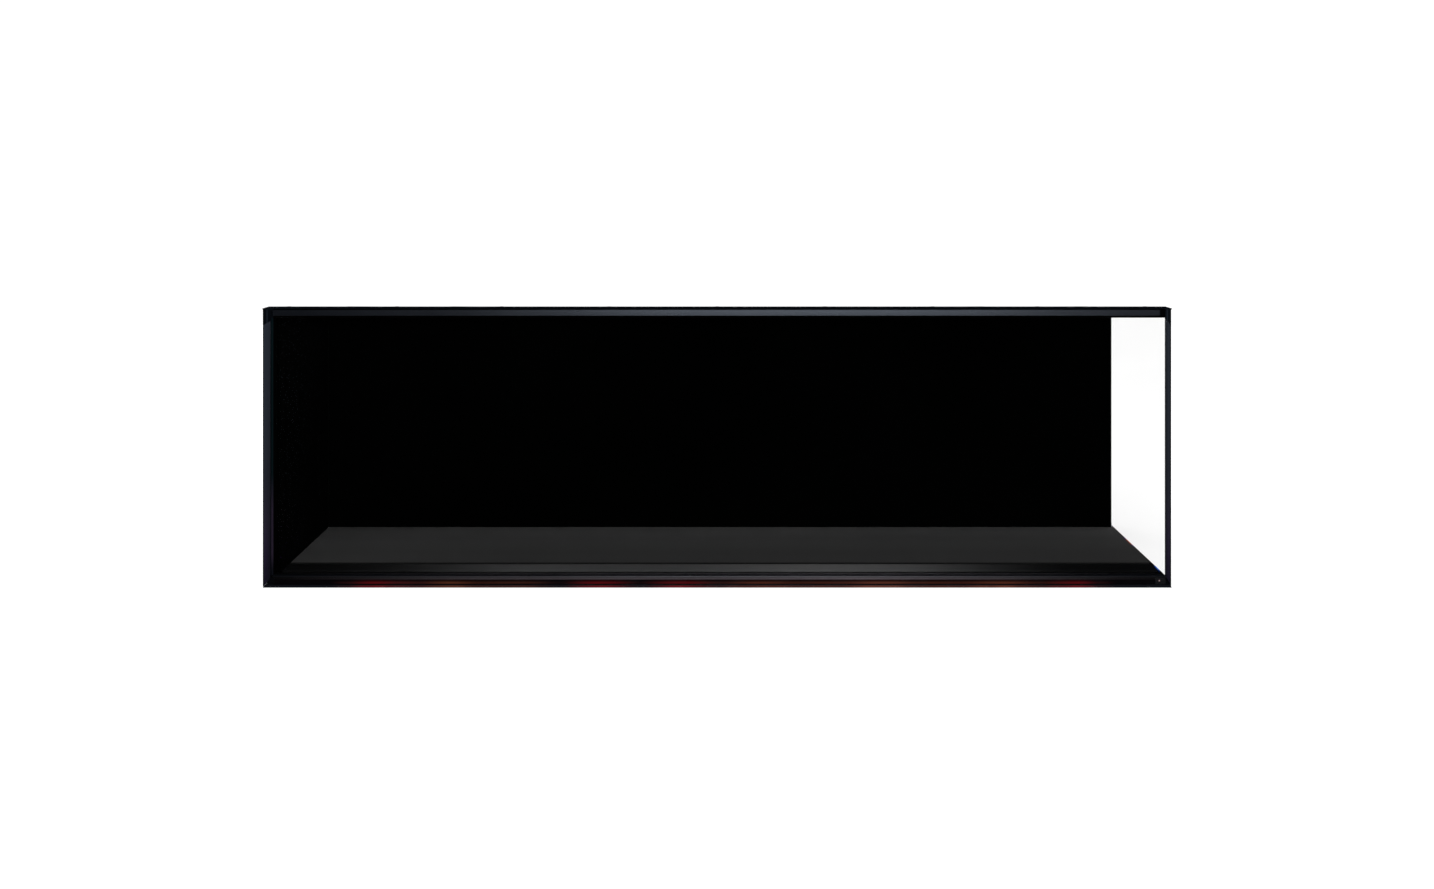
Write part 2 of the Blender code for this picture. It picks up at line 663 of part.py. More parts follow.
def firebox():
    liner_rear = SCREEN_DEPTH - 0.0004
    liner = [
        (BASE_FRONT, FLOOR_Z + 0.001),
        (liner_rear, FLOOR_Z + 0.001),
        (liner_rear, ceiling_z(liner_rear) - GAP),
        (BASE_FRONT, ceiling_z(BASE_FRONT) - GAP),
    ]
    wall = prism("left_liner", "X", liner, (LINER_X - SHEET, LINER_X), LINER_BLACK)
    inset = 0.0003
    flange_x = (LEFT_INNER_X - 0.005, LINER_X - inset)
    flange_depths = (BASE_FRONT + 0.0001, BASE_FRONT + SHEET)
    flange_z = (liner[0][1] + inset, liner[-1][1] - inset)
    flange = box("left_liner_flange", flange_x, flange_depths, flange_z, None, CUTTERS)
    combine(wall, flange, "UNION")

    ends = (BASE_FRONT, BAY_DEPTH + 0.0005)
    ceiling = [
        (ends[0], ceiling_z(ends[0])),
        (ends[1], ceiling_z(ends[1])),
        (ends[1], ceiling_z(ends[1]) + SHEET),
        (ends[0], ceiling_z(ends[0]) + SHEET),
    ]
    ceiling_x = (CASE_LEFT_X + SHEET + GAP, SIDE_PANE_X - 0.0006)
    prism("firebox_ceiling", "X", ceiling, ceiling_x, LINER_BLACK)

    screen_depths = (SCREEN_DEPTH, SCREEN_DEPTH + 0.0035)
    screen_top = ceiling_z(screen_depths[1]) - GAP
    screen_x = (LINER_X, SCREEN_RIGHT_X)
    box("flame_screen", screen_x, screen_depths, (SHELF_Z[1] + GAP, screen_top), SCREEN_BLACK)

    channel_front, web_z, upstand_z = 0.236, 0.0015, 0.026
    wall = (screen_depths[1] + 0.0005, BAY_DEPTH)
    channel = [
        (channel_front, SHELF_Z[0]),
        (wall[0], SHELF_Z[0]),
        (wall[0], web_z),
        (wall[1], web_z),
        (wall[1], upstand_z),
        (wall[0], upstand_z),
        (wall[0], SHELF_Z[1]),
        (channel_front, SHELF_Z[1]),
    ]
    channel_x = (LINER_X, SIDE_RAIL_IN_X - GAP)
    prism("screen_channel", "X", channel, channel_x, ZINC)

    tray_depths = (0.058, SCREEN_DEPTH - 0.0005)
    tray_z = (SHELF_Z[1] + GAP, FLOOR_Z)
    box("media_tray", channel_x, tray_depths, tray_z, TRAY_GREY)

    skin = 0.0015
    ledge = [
        (LEDGE[0], 0.0015),
        (LEDGE[0], LEDGE_TOP_Z - CHAMFER),
        (LEDGE[0] + CHAMFER, LEDGE_TOP_Z),
        (LEDGE[1], LEDGE_TOP_Z),
        (LEDGE[1], SHELF_Z[1]),
        (LEDGE[1] + 0.0105, SHELF_Z[1]),
        (LEDGE[1] + 0.0105, SHELF_Z[0]),
        (LEDGE[1] - skin, SHELF_Z[0]),
        (LEDGE[1] - skin, LEDGE_TOP_Z - skin),
        (LEDGE[0] + skin, LEDGE_TOP_Z - skin),
        (LEDGE[0] + skin, 0.0015),
    ]
    prism("front_ledge", "X", ledge, channel_x, LEDGE_METAL)


# ---------------------------------------------------------------- lights
def led_strip(name, x, depth, z, count, finish, chip=(0.005, 0.0009)):
    """A circuit strip with a row of LED chips standing on it, as one outline across Y."""
    length, height = chip
    board = 0.0016
    pitch = (x[1] - x[0]) / count
    top = []
    for i in range(count):
        middle = x[0] + (i + 0.5) * pitch
        top += [
            (middle - length / 2, z + board),
            (middle - length / 2, z + board + height),
            (middle + length / 2, z + board + height),
            (middle + length / 2, z + board),
        ]
    outline = [(x[1], z), (x[0], z), (x[0], z + board), *top, (x[1], z + board)]
    return prism(name, "Y", outline, depth, finish)


RECEIVER_X = 0.741
LENS_X = (-0.7425, 0.7340)


def accent_light():
    """The smoked lens in the bottom rail's groove, the strip behind it and the remote's eye."""
    fit = GAP
    lens_z = (GROOVE_Z[0] + fit, GROOVE_Z[1] - fit)
    box("accent_lens", LENS_X, (0.0006, 0.0026), lens_z, SMOKED_LENS)
    strip_x = (-0.735, 0.728)
    strip_z = (GROOVE_Z[0] + 0.0015, GROOVE_Z[1] - 0.0015)
    box("accent_led_strip", strip_x, (0.0042, GROOVE_DEPTH - GAP), strip_z, BOARD_WHITE)
    block = box(
        "ir_receiver",
        (LENS_X[1] + GAP, RIGHT_INNER_X + 0.0005),
        (0.0008, GROOVE_DEPTH - GAP),
        lens_z,
        BLACK_PLASTIC,
    )
    eye = 0.0019
    dome = [(0, -0.0006), (eye * 0.6, -0.0004), (eye, 0.0002), (eye, 0.002), (0, 0.002)]
    lens = turned(
        "receiver_eye",
        dome[::-1],
        (RECEIVER_X, 0.0008, 0.0117),
        "Y",
        None,
        steps=16,
        collection=CUTTERS,
    )
    combine(block, lens, "UNION")


def inner_lights():
    led_strip("ember_led_strip", (-0.700, 0.700), (0.120, 0.132), SHEET + GAP, 14, BOARD_WHITE)
    led_strip("flame_led_bar", (-0.615, 0.615), (0.2600, 0.2690), 0.0150, 20, BOARD_WHITE)


def flame_baffle():
    """The upright mask between the rotor and the screen, with a leaping upper edge and slits."""
    half, low, points = 0.600, 0.0290, 60
    crest = []
    for i in range(points + 1):
        x = half - 2 * half * i / points
        wave = 0.016 * math.sin(31 * x) + 0.010 * math.sin(73 * x + 1.0) + 0.006 * math.sin(119 * x)
        crest.append((x, 0.090 + wave))
    slits = []
    slit_count, slit_pitch = 14, 0.083
    for i in range(slit_count):
        x = (i - (slit_count - 1) / 2) * slit_pitch
        slits.append([(x - 0.004, 0.036), (x + 0.004, 0.036), (x + 0.007, 0.048), (x, 0.060)])
    outline = [(-half, low), (half, low), *crest]
    prism("flame_baffle", "Y", outline, (0.2575, 0.2585), ZINC, slits)


# ---------------------------------------------------------------- flame rotor
def add_block(shape, size, turn):
    """Adds one box of the given size, moved by a matrix, to a bmesh."""
    made = bmesh.ops.create_cube(shape, size=1)
    bmesh.ops.scale(shape, vec=size, verts=made["verts"])
    bmesh.ops.transform(shape, matrix=turn, verts=made["verts"])


def rod(name, radius, length, place, finish, collection=None, sides=16):
    """A plain round bar along X."""
    mesh = bpy.data.meshes.new(name)
    shape = bmesh.new()
    bmesh.ops.create_cone(
        shape,
        cap_ends=True,
        segments=sides,
        radius1=radius,
        radius2=radius,
        depth=length,
        matrix=Matrix.Rotation(math.pi / 2, 4, "Y"),
    )
    shape.to_mesh(mesh)
    shape.free()
    obj = new_object(name, mesh, finish, collection)
    obj.location = (place[0], at(place[1]), place[2])
    return obj


def flame_rotor():
    """A long shaft with reflecting paddles set at a sixth of a turn from one to the next."""
    left_end = -0.640
    middle = (left_end + ROTOR_END) / 2
    shaft_place = (middle, ROTOR_DEPTH, ROTOR_Z)
    rotor = rod("flame_rotor", SHAFT_RADIUS, ROTOR_END - left_end, shaft_place, ALUMINIUM)
    mesh = bpy.data.meshes.new("rotor_paddles")
    shape = bmesh.new()
    half_run = 0.600
    pitch = 2 * half_run / PADDLE_COUNT
    for i in range(PADDLE_COUNT):
        x = -half_run + (i + 0.5) * pitch
        turn = Matrix.Translation((x, 0, 0)) @ Matrix.Rotation(i * TAU / 6, 4, "X")
        add_block(shape, (PADDLE_LENGTH, 0.0012, 2 * PADDLE_REACH), turn)
    shape.to_mesh(mesh)
    shape.free()
    paddles = new_object("rotor_paddles", mesh, None, CUTTERS)
    paddles.location = (0, at(ROTOR_DEPTH), ROTOR_Z)
    combine(rotor, paddles, "UNION")


def rotor_mounting():
    """Three bearing plates on the base, the coupling ring and the gear motor."""
    foot, half, thick = SHEET + GAP, 0.011, 0.003
    for name, x in BEARINGS:
        plate = [
            (ROTOR_DEPTH - 2 * half, foot),
            (ROTOR_DEPTH + 2 * half, foot),
            (ROTOR_DEPTH + half, ROTOR_Z - half),
            (ROTOR_DEPTH + half, ROTOR_Z + half),
            (ROTOR_DEPTH - half, ROTOR_Z + half),
            (ROTOR_DEPTH - half, ROTOR_Z - half),
        ]
        bore = circle((ROTOR_DEPTH, ROTOR_Z), BORE_RADIUS)
        prism(name, "X", plate, (x - thick / 2, x + thick / 2), WHITE_NYLON, [bore])
    ring = [(SHAFT_RADIUS + GAP, 0.004), (0.007, 0.004), (0.007, -0.004), (SHAFT_RADIUS + GAP, -0.004)]
    turned("rotor_coupling", ring, (0.640, ROTOR_DEPTH, ROTOR_Z), "X", RUBBER, steps=16)
    body = 0.021
    corner = 0.006
    d, z = ROTOR_DEPTH, ROTOR_Z
    can = [
        (d - body + corner, z - body),
        (d + body - corner, z - body),
        (d + body, z - body + corner),
        (d + body, z + body - corner),
        (d + body - corner, z + body),
        (d - body + corner, z + body),
        (d - body, z + body - corner),
        (d - body, z - body + corner),
    ]
    bore = circle((ROTOR_DEPTH, ROTOR_Z), BORE_RADIUS)
    prism("rotor_motor", "X", can, (0.648, 0.672), ZINC, [bore])


# ---------------------------------------------------------------- blower and heater
def blower_wheel():
    """A cross-flow wheel: two end discs and a middle one, a ring of blades, and its shaft."""
    half = BLOWER_HALF
    place = (0, BLOWER_DEPTH, BLOWER_Z)
    shaft_radius, disc = 0.0025, 0.0016
    shaft_ends = (-0.172, 0.200)
    shaft_place = (sum(shaft_ends) / 2, BLOWER_DEPTH, BLOWER_Z)
    wheel = rod("blower_wheel", shaft_radius, shaft_ends[1] - shaft_ends[0], shaft_place, ALUMINIUM)
    mesh = bpy.data.meshes.new("wheel_discs")
    shape = bmesh.new()
    for x in (-half + disc / 2, 0, half - disc / 2):
        turn = Matrix.Translation((x, 0, 0)) @ Matrix.Rotation(math.pi / 2, 4, "Y")
        bmesh.ops.create_cone(
            shape,
            cap_ends=True,
            segments=24,
            radius1=BLOWER_RADIUS,
            radius2=BLOWER_RADIUS,
            depth=disc,
            matrix=turn,
        )
    shape.to_mesh(mesh)
    shape.free()
    discs = new_object("wheel_discs", mesh, None, CUTTERS)
    discs.location = (0, at(BLOWER_DEPTH), BLOWER_Z)
    combine(wheel, discs, "UNION")

    mesh = bpy.data.meshes.new("wheel_blades")
    shape = bmesh.new()
    chord, blade_radius = 0.0075, BLOWER_RADIUS - 0.0045
    for i in range(BLADE_COUNT):
        spin = Matrix.Rotation((i + 0.25) * TAU / BLADE_COUNT, 4, "X")
        lean = Matrix.Translation((0, blade_radius, 0)) @ Matrix.Rotation(math.radians(35), 4, "X")
        add_block(shape, (2 * half - disc, chord, 0.0010), spin @ lean)
    shape.to_mesh(mesh)
    shape.free()
    blades = new_object("wheel_blades", mesh, None, CUTTERS)
    blades.location = (place[0], at(place[1]), place[2])
    combine(wheel, blades, "UNION")


def arc(centre, start, stop, first, last, count):
    """Points round a centre from angle start to stop, as the radius goes from first to last."""
    found = []
    for i in range(count + 1):
        share = i / count
        angle = start + (stop - start) * share
        radius = first + (last - first) * share
        found.append((centre[0] + radius * math.cos(angle), centre[1] + radius * math.sin(angle)))
    return found


def blower_housing():
    """The scroll under the wheel, the wall behind the throat and the two end plates."""
    centre = (BLOWER_DEPTH, BLOWER_Z)
    start, stop, steps = math.pi, math.radians(300), 14
    far = centre[0] - THROAT[0]
    scroll = [(THROAT[0], ceiling_z(THROAT[0]) - GAP)]
    scroll += arc(centre, start, stop, far, BLOWER_RADIUS + 0.003, steps)
    scroll += arc(centre, stop, start, BLOWER_RADIUS + 0.003 + SHEET, far + SHEET, steps)
    scroll += [(THROAT[0] - SHEET, ceiling_z(THROAT[0]) - GAP)]
    inside = (-HOUSING_HALF + 0.0004, HOUSING_HALF - 0.0004)
    housing = prism("blower_housing", "X", scroll, inside, ZINC)

    wall_top = roof_z(THROAT[1]) - SHEET - 0.0006
    wall = rectangle((THROAT[1], THROAT[1] + SHEET), (0.4015, wall_top))
    wall_solid = prism("throat_wall", "X", wall, inside, None, collection=CUTTERS)
    combine(housing, wall_solid, "UNION")

    plate_top = ceiling_z(THROAT[0]) - GAP
    plate = [
        (THROAT[0] - SHEET, 0.342),
        (0.322, 0.342),
        (0.322, 0.400),
        (THROAT[1] + SHEET, 0.408),
        (THROAT[1] + SHEET, plate_top),
        (THROAT[0] - SHEET, plate_top),
    ]
    bore = circle(centre, 0.0032)
    for side, x in (("left", -HOUSING_HALF), ("right", HOUSING_HALF)):
        ends = (x - SHEET / 2, x + SHEET / 2)
        end_plate = prism(f"end_plate_{side}", "X", plate, ends, None, [bore], CUTTERS)
        combine(housing, end_plate, "UNION")


def heater():
    """The finned heating block in the throat, the motor and the cut-out."""
    fins, low, root, tip = 24, 0.4035, 0.4062, 0.4180
    half = 0.158
    pitch = 2 * half / fins
    comb = []
    for i in range(fins):
        left = -half + i * pitch
        comb += [(left, root), (left, tip), (left + pitch * 0.35, tip), (left + pitch * 0.35, root)]
    outline = [(half, low), (-half, low), *comb, (half, root)]
    prism("heating_element", "Y", outline, (THROAT[0] + 0.0012, THROAT[1] - 0.0012), ALUMINIUM)

    motor = [(0.0032, 0.034), (0.016, 0.034), (0.022, 0.028), (0.022, 0.004), (0.012, 0), (0.0032, 0)]
    turned("blower_motor", motor, (0.172, BLOWER_DEPTH, BLOWER_Z), "X", ZINC, steps=20)
    cutout = [(0, 0.006), (0.008, 0.006), (0.008, 0), (0, 0)]
    turned("thermal_cutout", cutout, (0.120, THROAT[1] + SHEET + GAP, 0.418), "Y", ZINC, steps=16)


def duct_walls():
    ends = (BAND_DEPTH + 0.001, BAY_DEPTH)
    for side, x in (("left", -DUCT_HALF), ("right", DUCT_HALF)):
        outline = [
            (ends[0], ceiling_z(ends[0]) + SHEET + GAP),
            (ends[1], ceiling_z(ends[1]) + SHEET + GAP),
            (ends[1], roof_z(ends[1]) - SHEET - GAP),
            (ends[0], roof_z(ends[0]) - SHEET - GAP),
        ]
        prism(f"duct_wall_{side}", "X", outline, (x - SHEET / 2, x + SHEET / 2), ZINC)


# ---------------------------------------------------------------- electrics
BOX_X, BOX_DEPTHS, BOX_Z = (0.470, 0.700), (0.2625, 0.3240), (0.150, 0.330)


def electrics():
    box_shell = box("control_box", BOX_X, BOX_DEPTHS, BOX_Z, ZINC)
    inner_x = (BOX_X[0] + SHEET, BOX_X[1] - SHEET)
    inner_depths = (BOX_DEPTHS[0] - 0.01, BOX_DEPTHS[1] - SHEET)
    inner_z = (BOX_Z[0] + SHEET, BOX_Z[1] - SHEET)
    hollow = box("control_box_hollow", inner_x, inner_depths, inner_z, None, CUTTERS)
    combine(box_shell, hollow, "DIFFERENCE")
    cover_depths = (BOX_DEPTHS[0] - GAP - SHEET, BOX_DEPTHS[0] - GAP)
    box("control_box_cover", BOX_X, cover_depths, BOX_Z, ZINC)
    box("main_board", (0.480, 0.690), (0.3130, 0.3146), (0.160, 0.320), BOARD_GREEN)
    box("power_supply", (0.492, 0.560), (0.2820, 0.3120), (0.175, 0.245), BLACK_PLASTIC)
    box("terminal_block", (-0.725, -0.655), (0.2990, 0.3240), (0.0900, 0.1120), BOARD_WHITE)


def mains_cable():
    """The lead from the terminal block to the control box, along the foot of the rear panel."""
    route = [
        (-0.6540, 0.3120, 0.1010),
        (-0.6300, 0.3140, 0.0980),
        (-0.6120, 0.3195, 0.0800),
        (-0.6060, 0.3215, 0.0400),
        (-0.5900, 0.3215, 0.0140),
        (-0.5500, 0.3215, 0.0090),
        (-0.2500, 0.3215, 0.0085),
        (0.2500, 0.3215, 0.0085),
        (0.5400, 0.3215, 0.0090),
        (0.5780, 0.3215, 0.0160),
        (0.5900, 0.3215, 0.0500),
        (0.5930, 0.3185, 0.1000),
        (0.5940, 0.3120, 0.1350),
        (0.5940, 0.3100, 0.1490),
    ]
    radius = 0.0032
    curve = bpy.data.curves.new("mains_cable", "CURVE")
    curve.dimensions = "3D"
    curve.bevel_depth = radius
    curve.bevel_resolution = 2
    curve.use_fill_caps = True
    spline = curve.splines.new("POLY")
    spline.points.add(len(route) - 1)
    for point, (x, depth, z) in zip(spline.points, route):
        point.co = (x, at(depth), z, 1)
    new_object("mains_cable", curve, BLACK_PLASTIC)


uprights()
corner_cap("left_corner_cap", stile_section(), (LEFT_X, LEFT_INNER_X), LEFT_CAP_LINE)
corner_cap("right_corner_cap", post_section(), (RIGHT_INNER_X, RIGHT_X), RIGHT_CAP_LINE)
top_rail()
bottom_rail()
side_frame()
panes()
base_pan()
roof_panel()
rear_panel()
side_sheets()
rear_screws()
cable_grommet()
top_vent_strip()
controls()
firebox()
accent_light()
inner_lights()
flame_baffle()
flame_rotor()
rotor_mounting()
blower_wheel()
blower_housing()
heater()
duct_walls()
electrics()
mains_cable()
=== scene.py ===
import json
import math

import bmesh
import bpy
from mathutils import Matrix, Vector


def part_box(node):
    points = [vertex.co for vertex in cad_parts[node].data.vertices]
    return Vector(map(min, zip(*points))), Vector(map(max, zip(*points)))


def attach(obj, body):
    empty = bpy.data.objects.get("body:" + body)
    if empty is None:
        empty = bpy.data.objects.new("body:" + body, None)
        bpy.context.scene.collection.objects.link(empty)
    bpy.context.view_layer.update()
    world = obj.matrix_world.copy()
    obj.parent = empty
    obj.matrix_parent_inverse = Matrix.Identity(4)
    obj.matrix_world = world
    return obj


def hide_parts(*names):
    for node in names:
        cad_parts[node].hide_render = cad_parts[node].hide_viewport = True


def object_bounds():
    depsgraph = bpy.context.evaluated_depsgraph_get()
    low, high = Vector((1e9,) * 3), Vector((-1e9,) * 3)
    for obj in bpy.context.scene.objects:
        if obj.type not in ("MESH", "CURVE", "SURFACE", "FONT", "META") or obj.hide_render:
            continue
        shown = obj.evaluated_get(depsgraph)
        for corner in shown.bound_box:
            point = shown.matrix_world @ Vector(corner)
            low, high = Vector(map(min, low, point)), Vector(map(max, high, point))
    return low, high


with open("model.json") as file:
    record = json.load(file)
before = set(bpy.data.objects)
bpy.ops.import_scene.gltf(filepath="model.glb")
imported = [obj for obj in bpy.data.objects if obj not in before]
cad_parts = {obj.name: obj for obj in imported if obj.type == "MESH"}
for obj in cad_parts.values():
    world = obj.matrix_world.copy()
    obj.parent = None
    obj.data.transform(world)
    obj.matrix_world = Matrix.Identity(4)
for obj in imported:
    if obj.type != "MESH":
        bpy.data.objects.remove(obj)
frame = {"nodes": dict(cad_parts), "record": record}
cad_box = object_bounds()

NODES = frame["nodes"]
FRONT_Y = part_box("front_top_rail")[0].y
REAR_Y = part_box("rear_panel")[1].y
TOP_Z = cad_box[1].z
HALF_WIDTH = cad_box[1].x


def at(depth):
    """World Y of a depth behind the front face."""
    return FRONT_Y + depth


# ---------------------------------------------------------------- materials
class Nodes:
    """A short way to add and join shader nodes."""

    def __init__(self, name):
        self.material = bpy.data.materials.new(name)
        self.material.use_nodes = True
        self.tree = self.material.node_tree
        self.shader = self.tree.nodes["Principled BSDF"]
        self.place = self.add("ShaderNodeTexCoord").outputs["Object"]

    def add(self, kind, settings=None, **inputs):
        node = self.tree.nodes.new(kind)
        for key, value in (settings or {}).items():
            setattr(node, key, value)
        for key, value in inputs.items():
            self.feed(node.inputs[key.replace("_", " ")], value)
        return node

    def feed(self, socket, value):
        if isinstance(value, bpy.types.NodeSocket):
            self.tree.links.new(value, socket)
        else:
            socket.default_value = value

    def stretched(self, scale):
        mapping = self.add("ShaderNodeMapping", Vector=self.place)
        mapping.inputs["Scale"].default_value = scale
        return mapping.outputs["Vector"]

    def noise(self, scale, detail=2.0, place=None, roughness=0.5):
        made = self.add("ShaderNodeTexNoise", Vector=place or self.place, Scale=scale, Detail=detail)
        made.inputs["Roughness"].default_value = roughness
        return made.outputs["Fac"]

    def spread(self, value, low, high, start=0.3, stop=0.7, smooth=False):
        """value, from start to stop, read out as low to high."""
        kind = {"interpolation_type": "SMOOTHSTEP"} if smooth else {}
        made = self.add("ShaderNodeMapRange", kind, Value=value)
        for key, number in (("From Min", start), ("From Max", stop), ("To Min", low), ("To Max", high)):
            made.inputs[key].default_value = number
        return made.outputs["Result"]

    def mix(self, factor, first, second):
        made = self.add("ShaderNodeMix", {"data_type": "RGBA"})
        for index, value in ((0, factor), (6, first), (7, second)):
            self.feed(made.inputs[index], value)
        return made.outputs[2]

    def calculate(self, operation, first, second=0.0, third=0.0, clamp=False):
        made = self.add("ShaderNodeMath", {"operation": operation, "use_clamp": clamp})
        for index, value in enumerate((first, second, third)):
            self.feed(made.inputs[index], value)
        return made.outputs[0]

    def bump(self, height, strength, distance, normal=None):
        made = self.add("ShaderNodeBump", Strength=strength, Distance=distance, Height=height)
        if normal:
            self.feed(made.inputs["Normal"], normal)
        self.feed(self.shader.inputs["Normal"], made.outputs["Normal"])
        return made.outputs["Normal"]

    def wear(self, radius):
        """0 on flat faces, rising to 1 along sharp edges."""
        rounded = self.add("ShaderNodeBevel", {"samples": 4}, Radius=radius)
        flat = self.add("ShaderNodeNewGeometry").outputs["Normal"]
        made = self.add("ShaderNodeVectorMath", {"operation": "DOT_PRODUCT"})
        self.feed(made.inputs[0], rounded.outputs["Normal"])
        self.feed(made.inputs[1], flat)
        return self.spread(made.outputs["Value"], 1.0, 0.0, 0.80, 0.99)

    def set(self, **values):
        for key, value in values.items():
            self.feed(self.shader.inputs[key.replace("_", " ")], value)
        return self.material


def rgb(red, green, blue):
    return (red, green, blue, 1.0)


def grey(level):
    return rgb(level, level, level)


def coated(
    name, colour, worn, roughness, specular,
    tint=(1, 1, 1), metallic=0.0, texture=0.12, matt=None, painted_lines=None,
):
    """Powder-coated or painted sheet: orange peel, uneven gloss and edges rubbed a little lighter.
    The two mask arguments give the places painted flat black as painted shade, and those painted with a thin
    pale line as a painted highlight."""
    n = Nodes(name)
    peel = n.noise(900, 3)
    cloud = n.noise(9, 4)
    fleck = n.noise(2600, 2)
    dark = rgb(*(c * 0.78 for c in colour))
    base = n.mix(n.spread(cloud, 0, 1), dark, rgb(*colour))
    base = n.mix(n.spread(fleck, 0.0, 0.35, 0.55, 0.75), base, rgb(*(c * 1.8 for c in colour)))
    rubbed = n.calculate("MULTIPLY", n.wear(0.0007), n.spread(n.noise(60, 4), 0.25, 0.9))
    base = n.mix(rubbed, base, rgb(*worn))
    gloss = n.spread(cloud, roughness * 0.90, roughness * 1.10)
    gloss = n.calculate("ADD", gloss, n.spread(peel, -0.03, 0.03))
    # Painted shade: these places are painted flat black, and made metallic so that they reflect nothing.
    if matt:
        flat = matt(n)
        base = n.mix(flat, base, rgb(0.0002, 0.0002, 0.0003))
        metallic = n.calculate("MAXIMUM", flat, metallic)
    # Painted highlight: a thin pale bluish line painted onto the coating.
    if painted_lines:
        base = n.mix(painted_lines(n), base, rgb(0.0065, 0.0090, 0.0135))
    n.bump(peel, texture, 0.00012)
    return n.set(
        Base_Color=base,
        Roughness=gloss,
        Metallic=metallic,
        Specular_IOR_Level=specular,
        Specular_Tint=rgb(*tint),
    )


def brushed(name, colour, roughness, along="X", metallic=1.0, scratch=0.25):
    """Sheet or bar stock with a drawn grain along one axis."""
    n = Nodes(name)
    scale = {"X": (1, 60, 60), "Y": (60, 1, 60), "Z": (60, 60, 1)}[along]
    grain = n.noise(34, 5, n.stretched(scale))
    cloud = n.noise(14, 4)
    base = n.mix(n.spread(grain, 0, 1), rgb(*(c * 0.8 for c in colour)), rgb(*colour))
    base = n.mix(n.spread(cloud, 0.0, 0.35), base, rgb(*(c * 0.7 for c in colour)))
    n.bump(grain, scratch, 0.00005)
    drawn = n.spread(grain, roughness * 0.8, roughness * 1.2)
    gloss = n.calculate("ADD", drawn, n.spread(cloud, -0.05, 0.05))
    return n.set(Base_Color=base, Roughness=gloss, Metallic=metallic)


def spangled(name):
    """Galvanised sheet: a faint pattern of zinc crystals."""
    n = Nodes(name)
    cells = n.add("ShaderNodeTexVoronoi", Vector=n.place, Scale=95.0)
    tone = n.add("ShaderNodeSeparateColor", Color=cells.outputs["Color"]).outputs[0]
    cloud = n.noise(18, 4)
    base = n.mix(tone, rgb(0.34, 0.35, 0.37), rgb(0.52, 0.53, 0.55))
    base = n.mix(n.spread(cloud, 0.0, 0.3), base, rgb(0.27, 0.27, 0.28))
    gloss = n.calculate("ADD", n.spread(tone, 0.30, 0.46, 0, 1), n.spread(cloud, -0.04, 0.06))
    n.bump(tone, 0.06, 0.00008)
    return n.set(Base_Color=base, Roughness=gloss, Metallic=0.9)


def moulded(name, colour, roughness, grain=1500, depth=0.2):
    """Spark-eroded plastic or rubber."""
    n = Nodes(name)
    skin = n.noise(grain, 3)
    cloud = n.noise(22, 3)
    base = n.mix(n.spread(cloud, 0, 1), rgb(*(c * 0.82 for c in colour)), rgb(*colour))
    base = n.mix(n.spread(skin, 0.0, 0.25, 0.5, 0.8), base, rgb(*(min(1, c * 1.3) for c in colour)))
    n.bump(skin, depth, 0.00010)
    return n.set(Base_Color=base, Roughness=n.spread(skin, roughness * 0.88, roughness * 1.12))


def dead_black(name, level=0.00012):
    """The soot-black paint of the firebox lining, which shows nothing of its own."""
    n = Nodes(name)
    cloud = n.noise(25, 4)
    base = n.mix(n.spread(cloud, 0, 1), grey(level * 0.4), grey(level))
    n.bump(n.noise(700, 3), 0.15, 0.0001)
    return n.set(Base_Color=base, Roughness=n.spread(cloud, 0.85, 0.97), Specular_IOR_Level=0.0)


def glass(name, alpha):
    """Clear float glass with a faint film of dust. The Alpha is what it holds back of the view."""
    n = Nodes(name)
    n.set(Roughness=n.spread(n.noise(6, 4), 0.015, 0.05), Alpha=alpha, IOR=1.5, Specular_IOR_Level=0.12)
    film = n.spread(n.noise(3, 3), 0.0, 1.0)
    return n.set(Base_Color=n.mix(film, rgb(0.0010, 0.0014, 0.0013), rgb(0.0030, 0.0036, 0.0035)))


# Where the lens carries a painted glow, standing in for the flame light's reflection: (metres from the middle,
# linear colour)
RED, ORANGE, OUT = (0.085, 0.003, 0.004), (0.070, 0.020, 0.009), (0.0004, 0.0003, 0.0006)
PAINTED_GLOW = (
    (-0.650, OUT), (-0.620, (0.014, 0.003, 0.003)), (-0.575, RED), (-0.530, (0.040, 0.006, 0.006)),
    (-0.500, (0.026, 0.006, 0.005)), (-0.450, ORANGE), (-0.398, (0.026, 0.007, 0.004)),
    (-0.330, (0.034, 0.010, 0.006)), (-0.262, (0.004, 0.002, 0.002)), (-0.197, RED),
    (-0.129, (0.006, 0.002, 0.002)), (-0.062, RED), (0.005, (0.022, 0.007, 0.006)),
    (0.072, (0.060, 0.015, 0.008)), (0.139, (0.036, 0.010, 0.006)), (0.206, (0.048, 0.013, 0.008)),
    (0.273, (0.095, 0.028, 0.016)), (0.340, (0.042, 0.012, 0.007)), (0.408, (0.036, 0.009, 0.005)),
    (0.475, (0.080, 0.021, 0.010)), (0.542, (0.024, 0.006, 0.004)), (0.605, RED),
    (0.640, (0.012, 0.002, 0.002)), (0.672, OUT),
)


def axis(n, name):
    return n.add("ShaderNodeSeparateXYZ", Vector=n.place).outputs[name]


def along_x(n, stops, kind="EASE"):
    """A value or colour that changes along X, smoothly from stop to stop."""
    ramp = n.add("ShaderNodeValToRGB", Fac=n.spread(axis(n, "X"), 0.0, 1.0, -HALF_WIDTH, HALF_WIDTH))
    points = ramp.color_ramp
    points.interpolation = kind
    points.elements[0].color = points.elements[-1].color = rgb(*stops[0][1])
    for place, colour in stops:
        points.elements.new((place + HALF_WIDTH) / (2 * HALF_WIDTH)).color = rgb(*colour)
    return ramp.outputs["Color"]
